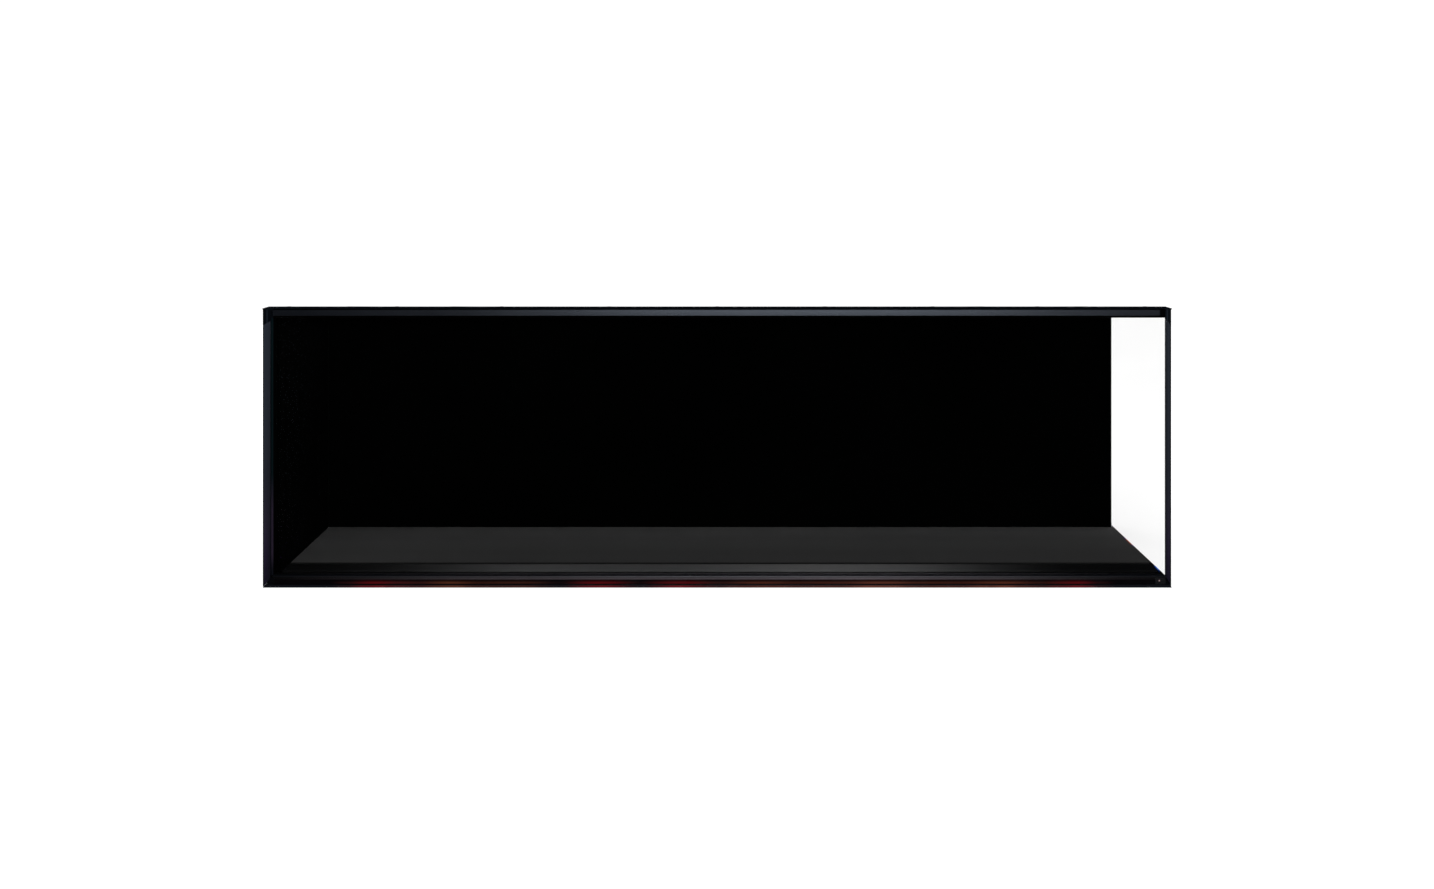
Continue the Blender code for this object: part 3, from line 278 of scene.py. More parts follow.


# How bright the painted highlight along the edge over the lens is: (metres from the middle, share)
EDGE = (
    (-0.700, 0.02), (-0.532, 0.20), (-0.398, 0.46), (-0.263, 0.50), (-0.197, 0.62), (-0.062, 0.60),
    (0.072, 0.66), (0.206, 1.0), (0.273, 0.90), (0.340, 0.72), (0.475, 0.42), (0.542, 0.30), (0.650, 0.10),
)


def lens_material():
    """Smoked acrylic over the accent strip, with a painted highlight along its rounded upper edge and a
    painted glow along its foot for the flame light's reflection.
    """
    n = Nodes("accent_lens")
    low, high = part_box("accent_lens")[0].z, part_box("accent_lens")[1].z
    z = axis(n, "Z")
    # Painted glow: the emission is strongest near the foot, fades towards the top and is streaked along X.
    foot = n.spread(z, 1.15, 0.22, low + 0.0018, high - 0.0042, smooth=True)
    fade = n.spread(z, 1.0, 0.10, high - 0.0044, high - 0.0026)
    edge = n.spread(z, 0.06, 1.0, low + 0.0010, low + 0.0018)
    streaks = n.spread(n.noise(30, 4, n.stretched((0.35, 1, 60))), 0.55, 1.2, 0.3, 0.7)
    level = n.calculate("MULTIPLY", foot, edge)
    level = n.calculate("MULTIPLY", level, n.calculate("MULTIPLY", streaks, fade))
    # Painted highlight along the lens's rounded upper edge, brighter right of the middle.
    pale = along_x(n, [(x, (0.078 * share, 0.066 * share, 0.074 * share)) for x, share in EDGE], "B_SPLINE")
    smoke = n.mix(n.noise(12), rgb(0.0004, 0.0003, 0.0005), rgb(0.0010, 0.0007, 0.0010))
    n.bump(n.noise(40, 3, n.stretched((1, 1, 30))), 0.05, 0.0001)
    return n.set(
        Base_Color=n.mix(n.spread(z, 0.0, 1.0, high - 0.0027, high - 0.0013, smooth=True), smoke, pale),
        Roughness=n.spread(n.noise(50, 3), 0.22, 0.32),
        Specular_IOR_Level=0.03,
        Emission_Color=along_x(n, PAINTED_GLOW),
        Emission_Strength=level,
    )


def bottom_rail_material():
    """The frame's coating, with the lens's light painted on the lip below it as a glow, and a painted
    highlight on the face above the lens.
    """
    n = Nodes("front_bottom_rail")
    lens_foot, lens_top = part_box("accent_lens")[0].z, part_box("accent_lens")[1].z
    z = axis(n, "Z")
    normal = n.add("ShaderNodeNewGeometry").outputs["Normal"]
    facing = n.spread(n.add("ShaderNodeSeparateXYZ", Vector=normal).outputs["Y"], 1.0, 0.0, -0.95, -0.5)
    # Painted glow: the lens's light painted on the lip below the lens.
    lip = n.calculate("MULTIPLY", n.spread(z, 1.0, 0.0, lens_foot - 0.0018, lens_foot - 0.0012), facing)
    # Painted highlight: the face above the lens is painted paler, brightest right of the middle.
    over = n.calculate("MULTIPLY", n.spread(z, 0.0, 1.0, lens_top, lens_top + 0.0002), facing)
    peel, cloud = n.noise(900, 3), n.noise(9, 4)
    pale = along_x(n, [(x, (0.050 * share, 0.045 * share, 0.050 * share)) for x, share in EDGE], "B_SPLINE")
    base = n.mix(n.spread(cloud, 0, 1), rgb(0.0010, 0.0013, 0.0020), rgb(0.0018, 0.0022, 0.0032))
    base = n.mix(over, base, pale)
    base = n.mix(lip, base, rgb(0.0030, 0.0036, 0.0055))
    n.bump(peel, 0.10, 0.00012)
    return n.set(
        Base_Color=base,
        Roughness=n.spread(cloud, 0.26, 0.36),
        Specular_IOR_Level=0.05,
        Specular_Tint=rgb(0.84, 0.92, 1.0),
        Emission_Color=along_x(n, PAINTED_GLOW),
        Emission_Strength=n.calculate("MULTIPLY", lip, n.spread(n.noise(45, 3), 1.0, 1.6)),
    )


def tray_material():
    """Matt dark grey paint with fine grit. Painted light makes it paler towards the rear and the left and
    darker towards the right, and a painted shade lies along the front edge.
    """
    n = Nodes("media_tray")
    grit, cloud = n.noise(1400, 3), n.noise(5, 3)
    front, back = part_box("media_tray")[0].y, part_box("media_tray")[1].y
    y = axis(n, "Y")
    middle = at(0.185)
    # Painted light: paler towards the rear, against the shade that falls there.
    base = n.mix(n.spread(y, 0, 1, at(0.115), middle), grey(0.0235), grey(0.0350))
    base = n.mix(n.spread(y, 0, 1, middle, back), base, grey(0.0700))
    # Painted light: paler towards the left end, darker towards the right.
    base = n.mix(n.spread(axis(n, "X"), 0.18, 0.0, -0.72, -0.35), base, grey(0.0650))
    base = n.mix(n.spread(axis(n, "X"), 0.0, 0.22, 0.20, 0.72), base, grey(0.0120))
    base = n.mix(n.spread(cloud, 0.0, 0.05), base, grey(0.012))
    base = n.mix(n.spread(grit, 0.0, 0.15, 0.5, 0.75), base, grey(0.034))
    # Painted shade along the front edge, at the gap before the ledge.
    base = n.mix(n.spread(y, 1.0, 0.0, front + 0.0042, front + 0.0062), base, grey(0.0070))
    n.bump(grit, 0.12, 0.0001)
    return n.set(Base_Color=base, Roughness=n.spread(grit, 0.88, 0.98), Specular_IOR_Level=0.0)


# How bright the ledge's painted highlight is: (metres from the middle, share)
LEDGE_HIGHLIGHT = (
    (-0.666, 0.0), (-0.532, 0.08), (-0.398, 0.44), (-0.331, 0.60), (-0.197, 0.53), (-0.062, 0.48),
    (0.072, 0.80), (0.206, 1.0), (0.340, 0.66), (0.408, 0.38), (0.475, 0.17), (0.542, 0.04), (0.609, 0.0),
)


def ledge_material():
    """Satin ledge, drawn along its length, with a painted highlight brightest right of the middle and a
    painted shade on its front fold.
    """
    n = Nodes("front_ledge")
    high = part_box("front_ledge")[1].z
    # Painted highlight along the ledge, brightest right of the middle.
    ledge_highlight = along_x(n, [(x, (share, share, share)) for x, share in LEDGE_HIGHLIGHT], "B_SPLINE")
    grain = n.noise(34, 4, n.stretched((1, 40, 40)))
    base = n.mix(ledge_highlight, rgb(0.0016, 0.0016, 0.0018), rgb(0.078, 0.078, 0.079))
    base = n.mix(n.spread(grain, 0.0, 0.25), base, grey(0.002))
    # Painted shade on the front fold below the top face.
    fold = n.spread(axis(n, "Z"), 0.85, 0.0, high - 0.0026, high - 0.0014, smooth=True)
    base = n.mix(fold, base, rgb(0.0020, 0.0020, 0.0022))
    n.bump(grain, 0.08, 0.00004)
    return n.set(Base_Color=base, Roughness=n.spread(grain, 0.50, 0.62), Specular_IOR_Level=0.02)


def receiver_material():
    """Black window block with the pale eye of the remote-control receiver."""
    n = Nodes("ir_receiver")
    low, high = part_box("ir_receiver")
    away = n.add("ShaderNodeVectorMath", {"operation": "DISTANCE"})
    n.feed(away.inputs[0], n.place)
    away.inputs[1].default_value = (0.7410, low.y, 0.0117)
    eye = n.spread(away.outputs["Value"], 1.0, 0.0, 0.0008, 0.0019, smooth=True)
    skin = n.noise(1200, 3)
    base = n.mix(n.spread(skin, 0, 1), rgb(0.0012, 0.0012, 0.0016), rgb(0.0024, 0.0024, 0.0030))
    n.bump(skin, 0.08, 0.0001)
    return n.set(
        Base_Color=n.mix(eye, base, rgb(0.20, 0.13, 0.13)),
        Roughness=n.spread(skin, 0.30, 0.40),
        Specular_IOR_Level=0.10,
    )


def board(name, colour, trace):
    """A circuit board: solder resist with paler tracks."""
    n = Nodes(name)
    cells = n.add("ShaderNodeTexVoronoi", {"feature": "DISTANCE_TO_EDGE"}, Vector=n.place, Scale=120.0)
    tracks = n.spread(cells.outputs["Distance"], 1.0, 0.0, 0.04, 0.09)
    base = n.mix(tracks, rgb(*colour), rgb(*trace))
    n.bump(tracks, 0.2, 0.00006)
    return n.set(Base_Color=base, Roughness=n.spread(n.noise(80, 3), 0.28, 0.45))


def either(n, first, *others):
    for other in others:
        first = n.calculate("MAXIMUM", first, other)
    return first


def below_face(n):
    """1 on what lies behind the frame's front face: the set-back lips and the returns."""
    return n.spread(axis(n, "Y"), 0.0, 1.0, at(0.0006), at(0.0016), smooth=True)


def upright_painted_shade(n):
    """Painted shade: the outer edge and the set-back lip, painted flat black."""
    side = n.calculate("ABSOLUTE", axis(n, "X"))
    outer = n.spread(side, 0.0, 0.9, HALF_WIDTH - 0.0020, HALF_WIDTH - 0.0012, smooth=True)
    return either(n, outer, below_face(n))


def rail_painted_shade(n):
    """Painted shade: the lip under the face, the top edge, and the last few millimetres at the right-hand end,
    painted flat black.
    """
    z = axis(n, "Z")
    top = n.spread(z, 0.0, 1.0, TOP_Z - 0.0029, TOP_Z - 0.0021, smooth=True)
    end = n.spread(axis(n, "X"), 0.0, 0.96, 0.7405, 0.7425, smooth=True)
    return either(n, top, end, below_face(n))


def cap_painted_lines(n):
    """A thin pale line painted as a highlight along the cap's corner, below its top edge."""
    side = n.calculate("ABSOLUTE", axis(n, "X"))
    line = n.spread(n.calculate("ABSOLUTE", n.calculate("SUBTRACT", side, 0.7540)), 1.0, 0.0, 0.0005, 0.0011)
    return n.calculate("MULTIPLY", line, n.spread(axis(n, "Z"), 1.0, 0.0, TOP_Z - 0.0020, TOP_Z - 0.0010))


def painted_lip_light():
    """Painted light and shade on the stile's set-back lip: bluish-dark above 0.19 m, a paler purplish band
    below 0.13 m, and darker again below 0.03 m.
    """
    n = Nodes("seal")
    z = axis(n, "Z")
    # Painted light and shade: darker above, paler lower down, darker again near the foot.
    tone = n.mix(n.spread(z, 1.0, 0.0, 0.13, 0.19), rgb(0.0018, 0.0050, 0.0062), rgb(0.0150, 0.0110, 0.0200))
    tone = n.mix(n.spread(z, 1.0, 0.0, 0.030, 0.055), tone, rgb(0.0035, 0.0040, 0.0062))
    tone = n.mix(n.spread(n.noise(600, 3), 0.0, 0.3), tone, grey(0.001))
    return n.set(Base_Color=tone, Roughness=n.spread(n.noise(40, 3), 0.8, 0.95), Specular_IOR_Level=0.0)


def side_sill_material():
    """The side's bottom rail, with two touches of the accent light caught on its inner edge."""
    n = Nodes("side_sill")
    y, z, x = axis(n, "Y"), axis(n, "Z"), axis(n, "X")
    inner = n.spread(x, 1.0, 0.0, 0.7522, 0.7526)
    edge = n.calculate("MULTIPLY", n.spread(z, 0.0, 1.0, 0.0155, 0.0170), inner)
    from_cold = n.calculate("ABSOLUTE", n.calculate("SUBTRACT", y, at(0.036)))
    from_warm = n.calculate("ABSOLUTE", n.calculate("SUBTRACT", y, at(0.167)))
    cold = n.spread(from_cold, 1.0, 0.0, 0.004, 0.014, smooth=True)
    warm = n.spread(from_warm, 1.0, 0.0, 0.008, 0.030, smooth=True)
    peel = n.noise(900, 3)
    n.bump(peel, 0.10, 0.00012)
    return n.set(
        Base_Color=n.mix(n.spread(peel, 0, 1), rgb(0.0012, 0.0013, 0.0016), rgb(0.0024, 0.0026, 0.0030)),
        Roughness=n.spread(n.noise(9, 4), 0.36, 0.46),
        Specular_IOR_Level=0.15,
        Emission_Color=n.mix(warm, rgb(0.0, 0.070, 0.45), rgb(0.24, 0.036, 0.009)),
        Emission_Strength=n.calculate("MULTIPLY", edge, n.calculate("MAXIMUM", cold, warm)),
    )


COOL = (0.84, 0.92, 1.0)
FRAME, RUBBED = (0.0016, 0.0019, 0.0026), (0.016, 0.018, 0.022)
stile_black = coated("stile_black", FRAME, RUBBED, 0.13, 0.50, COOL, matt=upright_painted_shade)
rail_black = coated("rail_black", FRAME, RUBBED, 0.30, 0.10, (0.80, 0.88, 1.0), matt=rail_painted_shade)
side_black = coated("side_black", FRAME, RUBBED, 0.40, 0.25, COOL)
band_black = dead_black("band_black", 0.0012)
case_black = coated("case_black", (0.030, 0.030, 0.032), (0.11, 0.11, 0.11), 0.5, 0.35, texture=0.2)
CAP, CAP_RUBBED = (0.0008, 0.0014, 0.0024), (0.004, 0.005, 0.007)
cap_black = coated("cap_black", CAP, CAP_RUBBED, 0.22, 0.04, COOL, painted_lines=cap_painted_lines)
liner_black = dead_black("liner_black")
screen_black = dead_black("screen_black", 0.00008)
seal_black = dead_black("seal_black", 0.0010)
clear_glass = glass("clear_glass", 0.045)
zinc = spangled("zinc")
aluminium = brushed("aluminium", (0.60, 0.61, 0.63), 0.30)
rubber = moulded("rubber", (0.012, 0.012, 0.012), 0.72, 700, 0.3)
black_plastic = moulded("black_plastic", (0.014, 0.014, 0.015), 0.42)
nylon = moulded("nylon", (0.58, 0.57, 0.52), 0.5, 500, 0.12)
white_board = board("white_board", (0.66, 0.66, 0.63), (0.52, 0.50, 0.42))
green_board = board("green_board", (0.008, 0.065, 0.026), (0.03, 0.14, 0.06))

FINISHES = {
    "left_front_stile": stile_black,
    "right_corner_post": stile_black,
    "left_corner_cap": cap_black,
    "right_corner_cap": cap_black,
    "front_top_rail": rail_black,
    "front_bottom_rail": bottom_rail_material(),
    "side_top_rail": side_black,
    "side_rear_stile": side_black,
    "side_bottom_rail": side_sill_material(),
    "top_vent_strip": band_black,
    "bay_end_wall": liner_black,
    "ir_receiver": receiver_material(),
    "left_liner": liner_black,
    "firebox_ceiling": liner_black,
    "flame_screen": screen_black,
    "media_tray": tray_material(),
    "front_ledge": ledge_material(),
    "front_glass": clear_glass,
    "side_glass": clear_glass,
    "accent_lens": lens_material(),
}
BY_SLOT = {
    "case_black": case_black,
    "rubber": rubber,
    "zinc": zinc,
    "aluminium": aluminium,
    "board_green": green_board,
    "board_white": white_board,
    "black_plastic": black_plastic,
    "white_nylon": nylon,
}
ROUNDING = {
    "frame_black": 0.0003,
    "black_plastic": 0.0005,
    "tray_grey": 0.0002,
    "white_nylon": 0.0003,
    "smoked_lens": 0.0003,
}
SHARP = ("mains_cable", "top_vent_strip", "front_ledge", "left_corner_cap", "right_corner_cap")


def finish_nodes():
    slots = {part["node"]: part["material_slot"] for part in frame["record"]["subparts"]}
    for name, node in NODES.items():
        made = FINISHES.get(name) or BY_SLOT[slots[name]]
        for index in range(len(node.data.materials)):
            node.data.materials[index] = made
        width = ROUNDING.get(slots[name])
        if width and name not in SHARP:
            soften(node, width)


def soften(obj, width, segments=2):
    """Rounds an object's edges without touching its own mesh."""
    weld = obj.modifiers.new("weld", "WELD")
    weld.merge_threshold = 0.00001
    bevel = obj.modifiers.new("bevel", "BEVEL")
    bevel.width = width
    bevel.segments = segments
    bevel.limit_method = "ANGLE"
    bevel.angle_limit = math.radians(25)
    bevel.use_clamp_overlap = True
    normals = obj.modifiers.new("normals", "WEIGHTED_NORMAL")
    normals.keep_sharp = False


finish_nodes()


# ---------------------------------------------------------------- added pieces
def piece(name, shape, finish, body="case", smooth=False):
    """Makes an object from a bmesh and lets it ride on a body."""
    mesh = bpy.data.meshes.new(name)
    bmesh.ops.recalc_face_normals(shape, faces=shape.faces)
    for face in shape.faces:
        face.smooth = smooth
    shape.to_mesh(mesh)
    shape.free()
    if smooth:
        mesh.set_sharp_from_angle(angle=math.radians(35))
    return placed(name, mesh, finish, body)


def placed(name, mesh, finish, body="case", matrix=None):
    obj = bpy.data.objects.new(name, mesh)
    bpy.context.scene.collection.objects.link(obj)
    if not mesh.materials:
        mesh.materials.append(finish)
    if matrix:
        obj.matrix_world = matrix
    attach(obj, body)
    return obj


def add_block(shape, low, high, edge=0.0, turn=None):
    """A box between two corners, with its edges rounded off, added to a bmesh."""
    made = bmesh.ops.create_cube(shape, size=1)
    size = [b - a for a, b in zip(low, high)]
    middle = Vector([(a + b) / 2 for a, b in zip(low, high)])
    bmesh.ops.scale(shape, vec=size, verts=made["verts"])
    if turn:
        bmesh.ops.transform(shape, matrix=turn, verts=made["verts"])
    bmesh.ops.translate(shape, vec=middle, verts=made["verts"])
    if edge:
        edges = list({e for v in made["verts"] for e in v.link_edges})
        bmesh.ops.bevel(shape, geom=edges, offset=edge, segments=2, profile=0.6, affect="EDGES")


def glazing_seals():
    """Thin skins over the frame's set-back lips, with painted light and shade on the stile's lip and painted
    shade along the stile's inner side and the top rail's lip; a black seal under the liner, and a pad at the
    foot of the corner.
    """
    skin = 0.00018
    stile, rail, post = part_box("left_front_stile"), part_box("front_top_rail"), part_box("right_corner_post")
    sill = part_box("front_bottom_rail")[1].z
    front, rear = at(0.0025), stile[1].y
    left, under = stile[1].x, rail[0].z + 0.0017
    side = bmesh.new()
    # Painted light and shade: a thin skin over the stile's set-back lip.
    add_block(side, (left - 0.0038, front - skin, sill), (left, front, rail[0].z + 0.001))
    piece("stile_lip_painted_light", side, painted_lip_light())
    lip = bmesh.new()
    # Painted shade: thin black skins over the stile's inner side and the top rail's lip.
    add_block(lip, (left, front, sill), (left + skin, rear, under))
    add_block(lip, (left, front - skin, under), (post[0].x - 0.0006, front, rail[0].z + 0.0051))
    piece("frame_lip_painted_shade", lip, seal_black)
    pad = bmesh.new()
    pane_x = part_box("side_glass")[0].x
    pad_low = (pane_x - 0.0095, at(0.0150), sill - 0.0058)
    pad_high = (pane_x - 0.0002, at(0.0188), sill - 0.0006)
    add_block(pad, pad_low, pad_high, edge=0.0006)
    piece("corner_pad", pad, seal_black, smooth=True)
    strip = bmesh.new()
    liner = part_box("left_liner")
    strip_low = (liner[1].x - 0.0030, liner[0].y + 0.0016, liner[0].z - 0.0060)
    strip_high = (liner[1].x - 0.0001, liner[1].y - 0.0004, liner[0].z - 0.0001)
    add_block(strip, strip_low, strip_high)
    piece("liner_foot_seal", strip, seal_black)


def screw_mesh(radius, height_m, finish):
    """A pan-head screw with a cross recess, standing on z = 0."""
    shape = bmesh.new()
    profile = ((0.0, 1.0), (0.45, 0.98), (0.75, 0.82), (0.94, 0.48), (1.0, 0.12), (1.0, -0.3), (0.0, -0.3))
    verts = [shape.verts.new((r * radius, 0, h * height_m)) for r, h in profile]
    edges = [shape.edges.new(pair) for pair in zip(verts, verts[1:])]
    bmesh.ops.spin(shape, geom=verts + edges, cent=(0, 0, 0), axis=(0, 0, 1), angle=2 * math.pi, steps=24)
    bmesh.ops.remove_doubles(shape, verts=shape.verts, dist=1e-6)
    bmesh.ops.recalc_face_normals(shape, faces=shape.faces)
    head = bpy.data.meshes.new("screw_head")
    shape.to_mesh(head)
    shape.free()
    cross = bmesh.new()
    arm, thick = radius * 0.62, radius * 0.13
    add_block(cross, (-arm, -thick, height_m * 0.35), (arm, thick, height_m * 2))
    other = bmesh.new()
    add_block(other, (-thick, -arm, height_m * 0.35), (thick, arm, height_m * 2))
    cutters = []
    for number, source in enumerate((cross, other)):
        mesh = bpy.data.meshes.new(f"cross_{number}")
        source.to_mesh(mesh)
        source.free()
        cutters.append(bpy.data.objects.new(f"cross_{number}", mesh))
    body = bpy.data.objects.new("screw_head", head)
    bpy.context.scene.collection.objects.link(body)
    for cutter in cutters:
        bpy.context.scene.collection.objects.link(cutter)
        cut = body.modifiers.new("recess", "BOOLEAN")
        cut.operation = "DIFFERENCE"
        cut.object = cutter
    made = bpy.data.meshes.new_from_object(body.evaluated_get(bpy.context.evaluated_depsgraph_get()))
    made.name = "screw"
    for obj in (body, *cutters):
        bpy.data.objects.remove(obj)
    for polygon in made.polygons:
        polygon.use_smooth = True
    made.set_sharp_from_angle(angle=math.radians(30))
    made.materials.clear()
    made.materials.append(finish)
    return made


FACING = {
    "rear": Matrix.Rotation(-math.pi / 2, 4, "X"),
    "left": Matrix.Rotation(-math.pi / 2, 4, "Y"),
    "right": Matrix.Rotation(math.pi / 2, 4, "Y"),
}


SCREW_ROWS = (0.030, 0.405)  # heights of the lower and upper screws of the case


def screws():
    """The screws that hold the case together. The four CAD screws get the same detailed head."""
    low_row, high_row = SCREW_ROWS
    case_screw = screw_mesh(0.0034, 0.0013, black_zinc)
    corner_screw = screw_mesh(0.0042, 0.0014, bright_zinc)
    rear_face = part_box("rear_panel")[1].y
    for number in range(1, 5):
        low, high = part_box(f"rear_screw_{number}")
        turn = Matrix.Rotation(number * 0.7, 4, "Z")
        centre = ((low.x + high.x) / 2, rear_face + 0.0002, (low.z + high.z) / 2)
        made = placed(
            f"corner_screw_{number}", corner_screw, bright_zinc,
            matrix=Matrix.Translation(centre) @ FACING["rear"] @ turn,
        )
        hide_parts(f"rear_screw_{number}")
    spots = []
    for x in (-0.56, -0.37, -0.19, 0.19, 0.37, 0.56):
        spots.append(("rear", (x, rear_face, low_row)))
        spots.append(("rear", (x, rear_face, high_row)))
    left_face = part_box("left_side_panel")[0].x
    foremost, fall = 0.035, 0.10
    for depth in (foremost, 0.130, 0.225, 0.315):
        spots.append(("left", (left_face, at(depth), low_row)))
        spots.append(("left", (left_face, at(depth), high_row - fall * (depth - foremost) + 0.035)))
    bay_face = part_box("right_bay_panel")[1].x
    for z in (0.040, 0.220, 0.400):
        spots.append(("right", (bay_face, at(0.316), z)))
    for number, (side, place) in enumerate(spots, 1):
        turn = Matrix.Rotation(number * 1.1, 4, "Z")
        matrix = Matrix.Translation(place) @ FACING[side] @ turn
        placed(f"case_screw_{number}", case_screw, black_zinc, matrix=matrix)


def roof_frame():
    """The slope of the roof: a matrix whose X is across, Y up the slope's own rear, Z off its face."""
    low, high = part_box("roof_panel")
    fall = math.atan2(high.z - (low.z + 0.009), high.y - low.y)
    return Matrix.Translation((0, low.y, high.z)) @ Matrix.Rotation(-fall, 4, "X")


def roof_details():
    """Screws along both edges of the roof, and its pressed stiffening ribs."""
    slope = roof_frame()
    roof_screw = screw_mesh(0.0034, 0.00035, black_zinc)
    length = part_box("roof_panel")[1].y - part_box("roof_panel")[0].y
    number = 0
    for x in (-0.735, -0.55, -0.37, -0.185, 0.0, 0.185, 0.37, 0.55, 0.735):
        for back in (0.022, length - 0.016):
            number += 1
            matrix = slope @ Matrix.Translation((x, back, 0.0)) @ Matrix.Rotation(number * 0.9, 4, "Z")
            placed(f"roof_screw_{number}", roof_screw, black_zinc, matrix=matrix)
    for index, x in enumerate((-0.64, -0.46, 0.46, 0.64)):
        shape = bmesh.new()
        pressed_rib(shape, 0.110, 0.0070, 0.0003)
        turn = Matrix.Rotation(math.pi / 2, 4, "Z")
        shape.transform(slope @ Matrix.Translation((x, length * 0.5, -0.00005)) @ turn)
        piece(f"roof_rib_{index + 1}", shape, case_black, smooth=True)


def pressed_rib(shape, half_length, half_width, rise, rings=5, around=28):
    """A long rounded swelling along X on z = 0, as pressed into sheet."""
    loops = []
    for ring in range(rings + 1):
        angle = math.pi / 2 * ring / rings
        inset = 1 - math.cos(angle)
        z = rise * math.sin(angle)
        loop = []
        for i in range(around):
            turn = 2 * math.pi * i / around
            radius = half_width * (1 - 0.96 * inset)
            shift = (half_length - half_width) * (1 if math.cos(turn) >= 0 else -1)
            loop.append(shape.verts.new((shift + radius * math.cos(turn), radius * math.sin(turn), z)))
        loops.append(loop)
    for first, second in zip(loops, loops[1:]):
        for i in range(around):
            j = (i + 1) % around
            shape.faces.new((first[i], first[j], second[j], second[i]))
    shape.faces.new(loops[-1])
    shape.faces.new(loops[0][::-1])


# The rear panel's groups of intake slots: (middle X, middle Z, columns, rows)
LOUVRES = ((-0.28, 0.345, 4, 4), (0.0, 0.345, 4, 4), (0.575, 0.115, 4, 3))
LOUVRE_PITCH = (0.050, 0.014)


def louvre_hoods():
    """A pressed hood over each intake slot of the rear panel, open along its lower edge."""
    rear_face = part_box("rear_panel")[1].y
    half, rise, height_m = 0.0205, 0.0017, 0.0052
    shape = bmesh.new()
    across, up = 14, 6
    grid = []
    for i in range(across + 1):
        u = -1 + 2 * i / across
        column = []
        for j in range(up + 1):
            v = j / up
            bulge = math.sqrt(max(0.0, 1 - v * v)) * (1 - abs(u) ** 6) ** 0.5
            column.append(shape.verts.new((u * half, -rise * bulge, -0.0024 + v * height_m)))
        grid.append(column)
    for i in range(across):
        for j in range(up):
            shape.faces.new((grid[i][j], grid[i + 1][j], grid[i + 1][j + 1], grid[i][j + 1]))
    mesh = bpy.data.meshes.new("louvre_hood")
    for face in shape.faces:
        face.smooth = True
    bmesh.ops.rotate(shape, cent=(0, 0, 0), matrix=Matrix.Rotation(math.pi, 3, "Z"), verts=shape.verts)
    shape.to_mesh(mesh)
    shape.free()
    number = 0
    for middle_x, middle_z, columns, rows in LOUVRES:
        for column in range(columns):
            for row in range(rows):
                number += 1
                x = middle_x + (column - (columns - 1) / 2) * LOUVRE_PITCH[0]
                z = middle_z + (row - (rows - 1) / 2) * LOUVRE_PITCH[1]
                matrix = Matrix.Translation((x, rear_face, z))
                hood = placed(f"louvre_{number}", mesh, case_black, matrix=matrix)
                skin = hood.modifiers.new("skin", "SOLIDIFY")
                skin.thickness = 0.0004
                skin.offset = 0


def rear_details():
    """Stiffening ribs pressed into the rear panel, and pads pressed out of the left side."""
    rear_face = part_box("rear_panel")[1].y
    ribs = ((-0.47, 0.20, 0.130), (0.27, 0.20, 0.130), (-0.10, 0.12, 0.160), (-0.10, 0.22, 0.160))
    for index, (x, z, half) in enumerate(ribs):
        shape = bmesh.new()
        pressed_rib(shape, half, 0.0080, 0.0016)
        turn = Matrix.Rotation(math.pi / 2, 4, "Z") if index < 2 else Matrix.Identity(4)
        shape.transform(Matrix.Translation((x, rear_face - 0.0001, z)) @ FACING["rear"] @ turn)
        piece(f"rear_rib_{index + 1}", shape, case_black, smooth=True)
    left_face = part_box("left_side_panel")[0].x
    for index, (depth, z) in enumerate(((0.085, 0.13), (0.085, 0.33), (0.255, 0.13), (0.255, 0.33))):
        shape = bmesh.new()
        pressed_rib(shape, 0.0210, 0.0090, 0.0012)
        shape.transform(Matrix.Translation((left_face + 0.0001, at(depth), z)) @ FACING["left"])
        piece(f"side_pad_{index + 1}", shape, case_black, smooth=True)


def outlet_vanes():
    """Tilted guide vanes under the slots of the warm-air outlet."""
    shape = bmesh.new()
    tilt = Matrix.Rotation(math.radians(28), 4, "X")
    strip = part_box("top_vent_strip")
    middle_y = (strip[0].y + strip[1].y) / 2
    for half, centre in ((0.088, -0.283), (0.172, 0.0), (0.088, 0.283)):
        for row in (-1, 0, 1):
            y = middle_y + row * 0.0026
            low = (centre - half, y - 0.0002, strip[0].z - 0.0042)
            high = (centre + half, y + 0.0002, strip[0].z - 0.0004)
            add_block(shape, low, high, turn=tilt)
    piece("outlet_vanes", shape, band_black)


def control_marks():
    """One, two and three raised dots on the buttons."""
    for count, name in enumerate(("standby_button", "flame_button", "heater_button"), 1):
        low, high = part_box(name)
        for i in range(count):
            shape = bmesh.new()
            bmesh.ops.create_uvsphere(shape, u_segments=16, v_segments=8, radius=0.0009)
            bmesh.ops.scale(shape, vec=(1, 1, 0.25), verts=shape.verts)
            x = (low.x + high.x) / 2 + (i - (count - 1) / 2) * 0.0032
            bmesh.ops.translate(shape, vec=(x, (low.y + high.y) / 2, high.z - 0.00024), verts=shape.verts)
            piece(f"{name}_dot_{i + 1}", shape, mark_white, body=name, smooth=True)


black_zinc = coated("black_zinc", (0.020, 0.020, 0.022), (0.16, 0.16, 0.16), 0.34, 0.5, metallic=0.6)
bright_zinc = brushed("bright_zinc", (0.50, 0.51, 0.53), 0.34, "Z")
mark_white = moulded("mark_white", (0.62, 0.62, 0.60), 0.4)

glazing_seals()
screws()
roof_details()
louvre_hoods()
rear_details()
outlet_vanes()
control_marks()


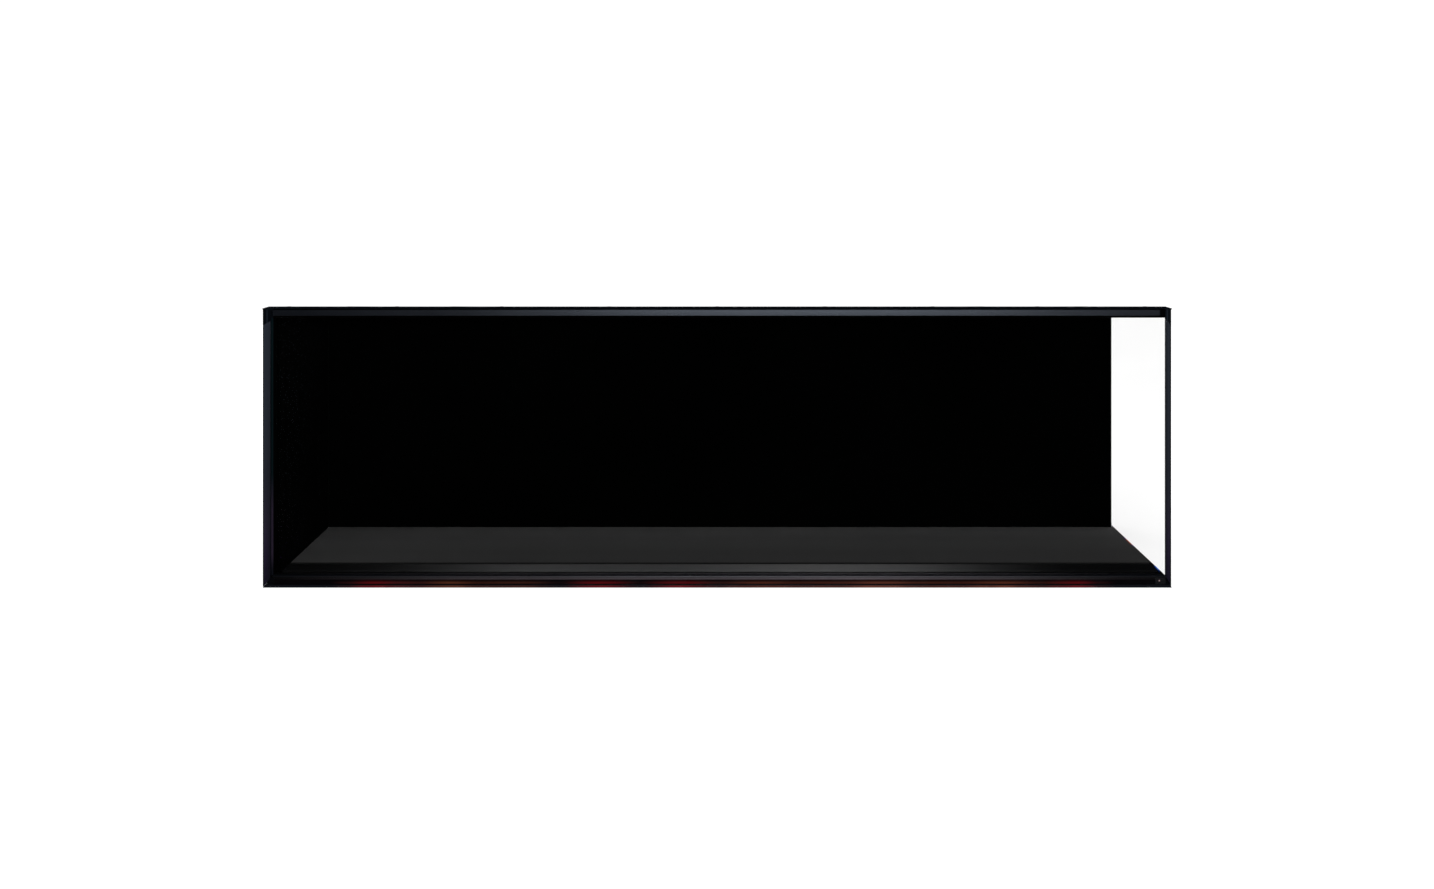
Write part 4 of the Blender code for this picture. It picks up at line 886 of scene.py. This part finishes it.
# ---------------------------------------------------------------- stage, camera and light
def stage_floor():
    mesh = bpy.data.meshes.new("floor")
    shape = bmesh.new()
    bmesh.ops.create_grid(shape, x_segments=2, y_segments=2, size=1)
    bmesh.ops.scale(shape, vec=(9.0, 6.4, 1), verts=shape.verts)
    bmesh.ops.translate(shape, vec=(0, 4.7, 0), verts=shape.verts)
    shape.to_mesh(mesh)
    shape.free()
    floor = bpy.data.objects.new("floor", mesh)
    bpy.context.scene.collection.objects.link(floor)
    floor.location.z = -0.0002
    n = Nodes("floor")
    base = n.mix(n.spread(n.noise(3, 3), 0, 1), rgb(0.19, 0.19, 0.19), rgb(0.21, 0.21, 0.21))
    n.set(Base_Color=base, Roughness=0.8, Specular_IOR_Level=0.0)
    n.set(Emission_Color=rgb(1.0, 1.0, 1.0), Emission_Strength=0.92)
    mesh.materials.append(n.material)
    floor.visible_glossy = False


def area_light(name, place, target, size, energy, colour=(1, 1, 1)):
    light = bpy.data.lights.new(name, "AREA")
    light.shape = "RECTANGLE"
    light.size, light.size_y = size
    light.energy = energy
    light.color = colour
    obj = bpy.data.objects.new(name, light)
    bpy.context.scene.collection.objects.link(obj)
    obj.location = place
    obj.rotation_euler = (Vector(target) - Vector(place)).to_track_quat("-Z", "Y").to_euler()
    return obj


def studio():
    """White surroundings. Gloss sees a dark room with a soft strip at each side and a dim ceiling."""
    world = bpy.data.worlds.new("studio")
    bpy.context.scene.world = world
    world.use_nodes = True
    tree = world.node_tree

    def add(kind, **settings):
        node = tree.nodes.new(kind)
        for key, value in settings.items():
            setattr(node, key, value)
        return node

    def between(value, start, stop, low=0.0, high=1.0):
        node = add("ShaderNodeMapRange", interpolation_type="SMOOTHSTEP")
        tree.links.new(value, node.inputs["Value"])
        for key, number in (("From Min", start), ("From Max", stop), ("To Min", low), ("To Max", high)):
            node.inputs[key].default_value = number
        return node.outputs["Result"]

    def times(first, second):
        node = add("ShaderNodeMath", operation="MULTIPLY")
        tree.links.new(first, node.inputs[0])
        tree.links.new(second, node.inputs[1])
        return node.outputs[0]

    def mixed(factor, first, second):
        node = add("ShaderNodeMix", data_type="RGBA")
        for index, value in ((0, factor), (6, first), (7, second)):
            if isinstance(value, bpy.types.NodeSocket):
                tree.links.new(value, node.inputs[index])
            else:
                node.inputs[index].default_value = value
        return node.outputs[2]

    direction = add("ShaderNodeSeparateXYZ")
    tree.links.new(add("ShaderNodeTexCoord").outputs["Generated"], direction.inputs[0])
    x, y, z = direction.outputs
    sideways = add("ShaderNodeMath", operation="ABSOLUTE")
    tree.links.new(x, sideways.inputs[0])
    strips = times(between(sideways.outputs[0], 0.330, 0.362), between(y, -0.75, -0.90))
    fall = add("ShaderNodeValToRGB")
    tree.links.new(between(z, -0.40, 0.0), fall.inputs["Fac"])
    for share, colour in (
        (0.085, (0.01, 0.02, 0.05)), (0.130, (0.75, 0.26, 1.25)), (0.19, (0.84, 0.75, 0.90)),
        (0.255, (0.26, 0.28, 0.34)), (0.34, (0.52, 0.57, 0.72)), (0.9, (0.50, 0.58, 0.74)),
    ):
        fall.color_ramp.elements.new(share).color = rgb(*colour)
    fall.color_ramp.elements[0].color = rgb(0.02, 0.03, 0.05)
    fall.color_ramp.elements[-1].color = rgb(0.46, 0.54, 0.70)
    room = mixed(strips, rgb(0.010, 0.012, 0.016), fall.outputs["Color"])
    room = mixed(times(between(z, 0.35, 0.75), between(y, 0.9, 0.2)), room, rgb(0.42, 0.44, 0.48))
    room = mixed(times(between(z, -0.08, -0.45), between(y, 0.35, 0.65)), room, rgb(0.75, 0.77, 0.80))
    path = add("ShaderNodeLightPath")
    shade = tree.nodes["Background"]
    tree.links.new(mixed(path.outputs["Is Glossy Ray"], rgb(1, 1, 1), room), shade.inputs["Color"])
    shade.inputs["Strength"].default_value = 1.04
    opposite, cool = (0.36, FRONT_Y, 0.74), (0.92, 0.95, 1.0)
    panel = area_light("front_panel", (0.36, -3.25, 0.74), opposite, (1.9, 1.3), 250, cool)
    panel.visible_diffuse = False
    area_light("overhead", (0.20, -1.20, 2.60), (0.1, -0.4, 0.0), (1.2, 0.5), 46)
    rear = area_light("rear_fill", (-1.8, 2.6, 1.7), (0.0, REAR_Y, 0.25), (1.6, 1.0), 70)
    rear.visible_glossy = False


EYE_DISTANCE, EYE_HEIGHT = 1.861, 0.7165  # from the front face, and above the floor


def camera():
    data = bpy.data.cameras.new("camera")
    data.sensor_width = 36
    data.lens = 27.89
    data.shift_x = -0.0026
    data.shift_y = -0.1983
    obj = bpy.data.objects.new("camera", data)
    bpy.context.scene.collection.objects.link(obj)
    obj.location = (0.006, at(-EYE_DISTANCE), EYE_HEIGHT)
    obj.rotation_euler = (math.pi / 2, 0, 0)
    bpy.context.scene.camera = obj


stage_floor()
studio()
camera()
bpy.context.scene.view_settings.view_transform = "Standard"
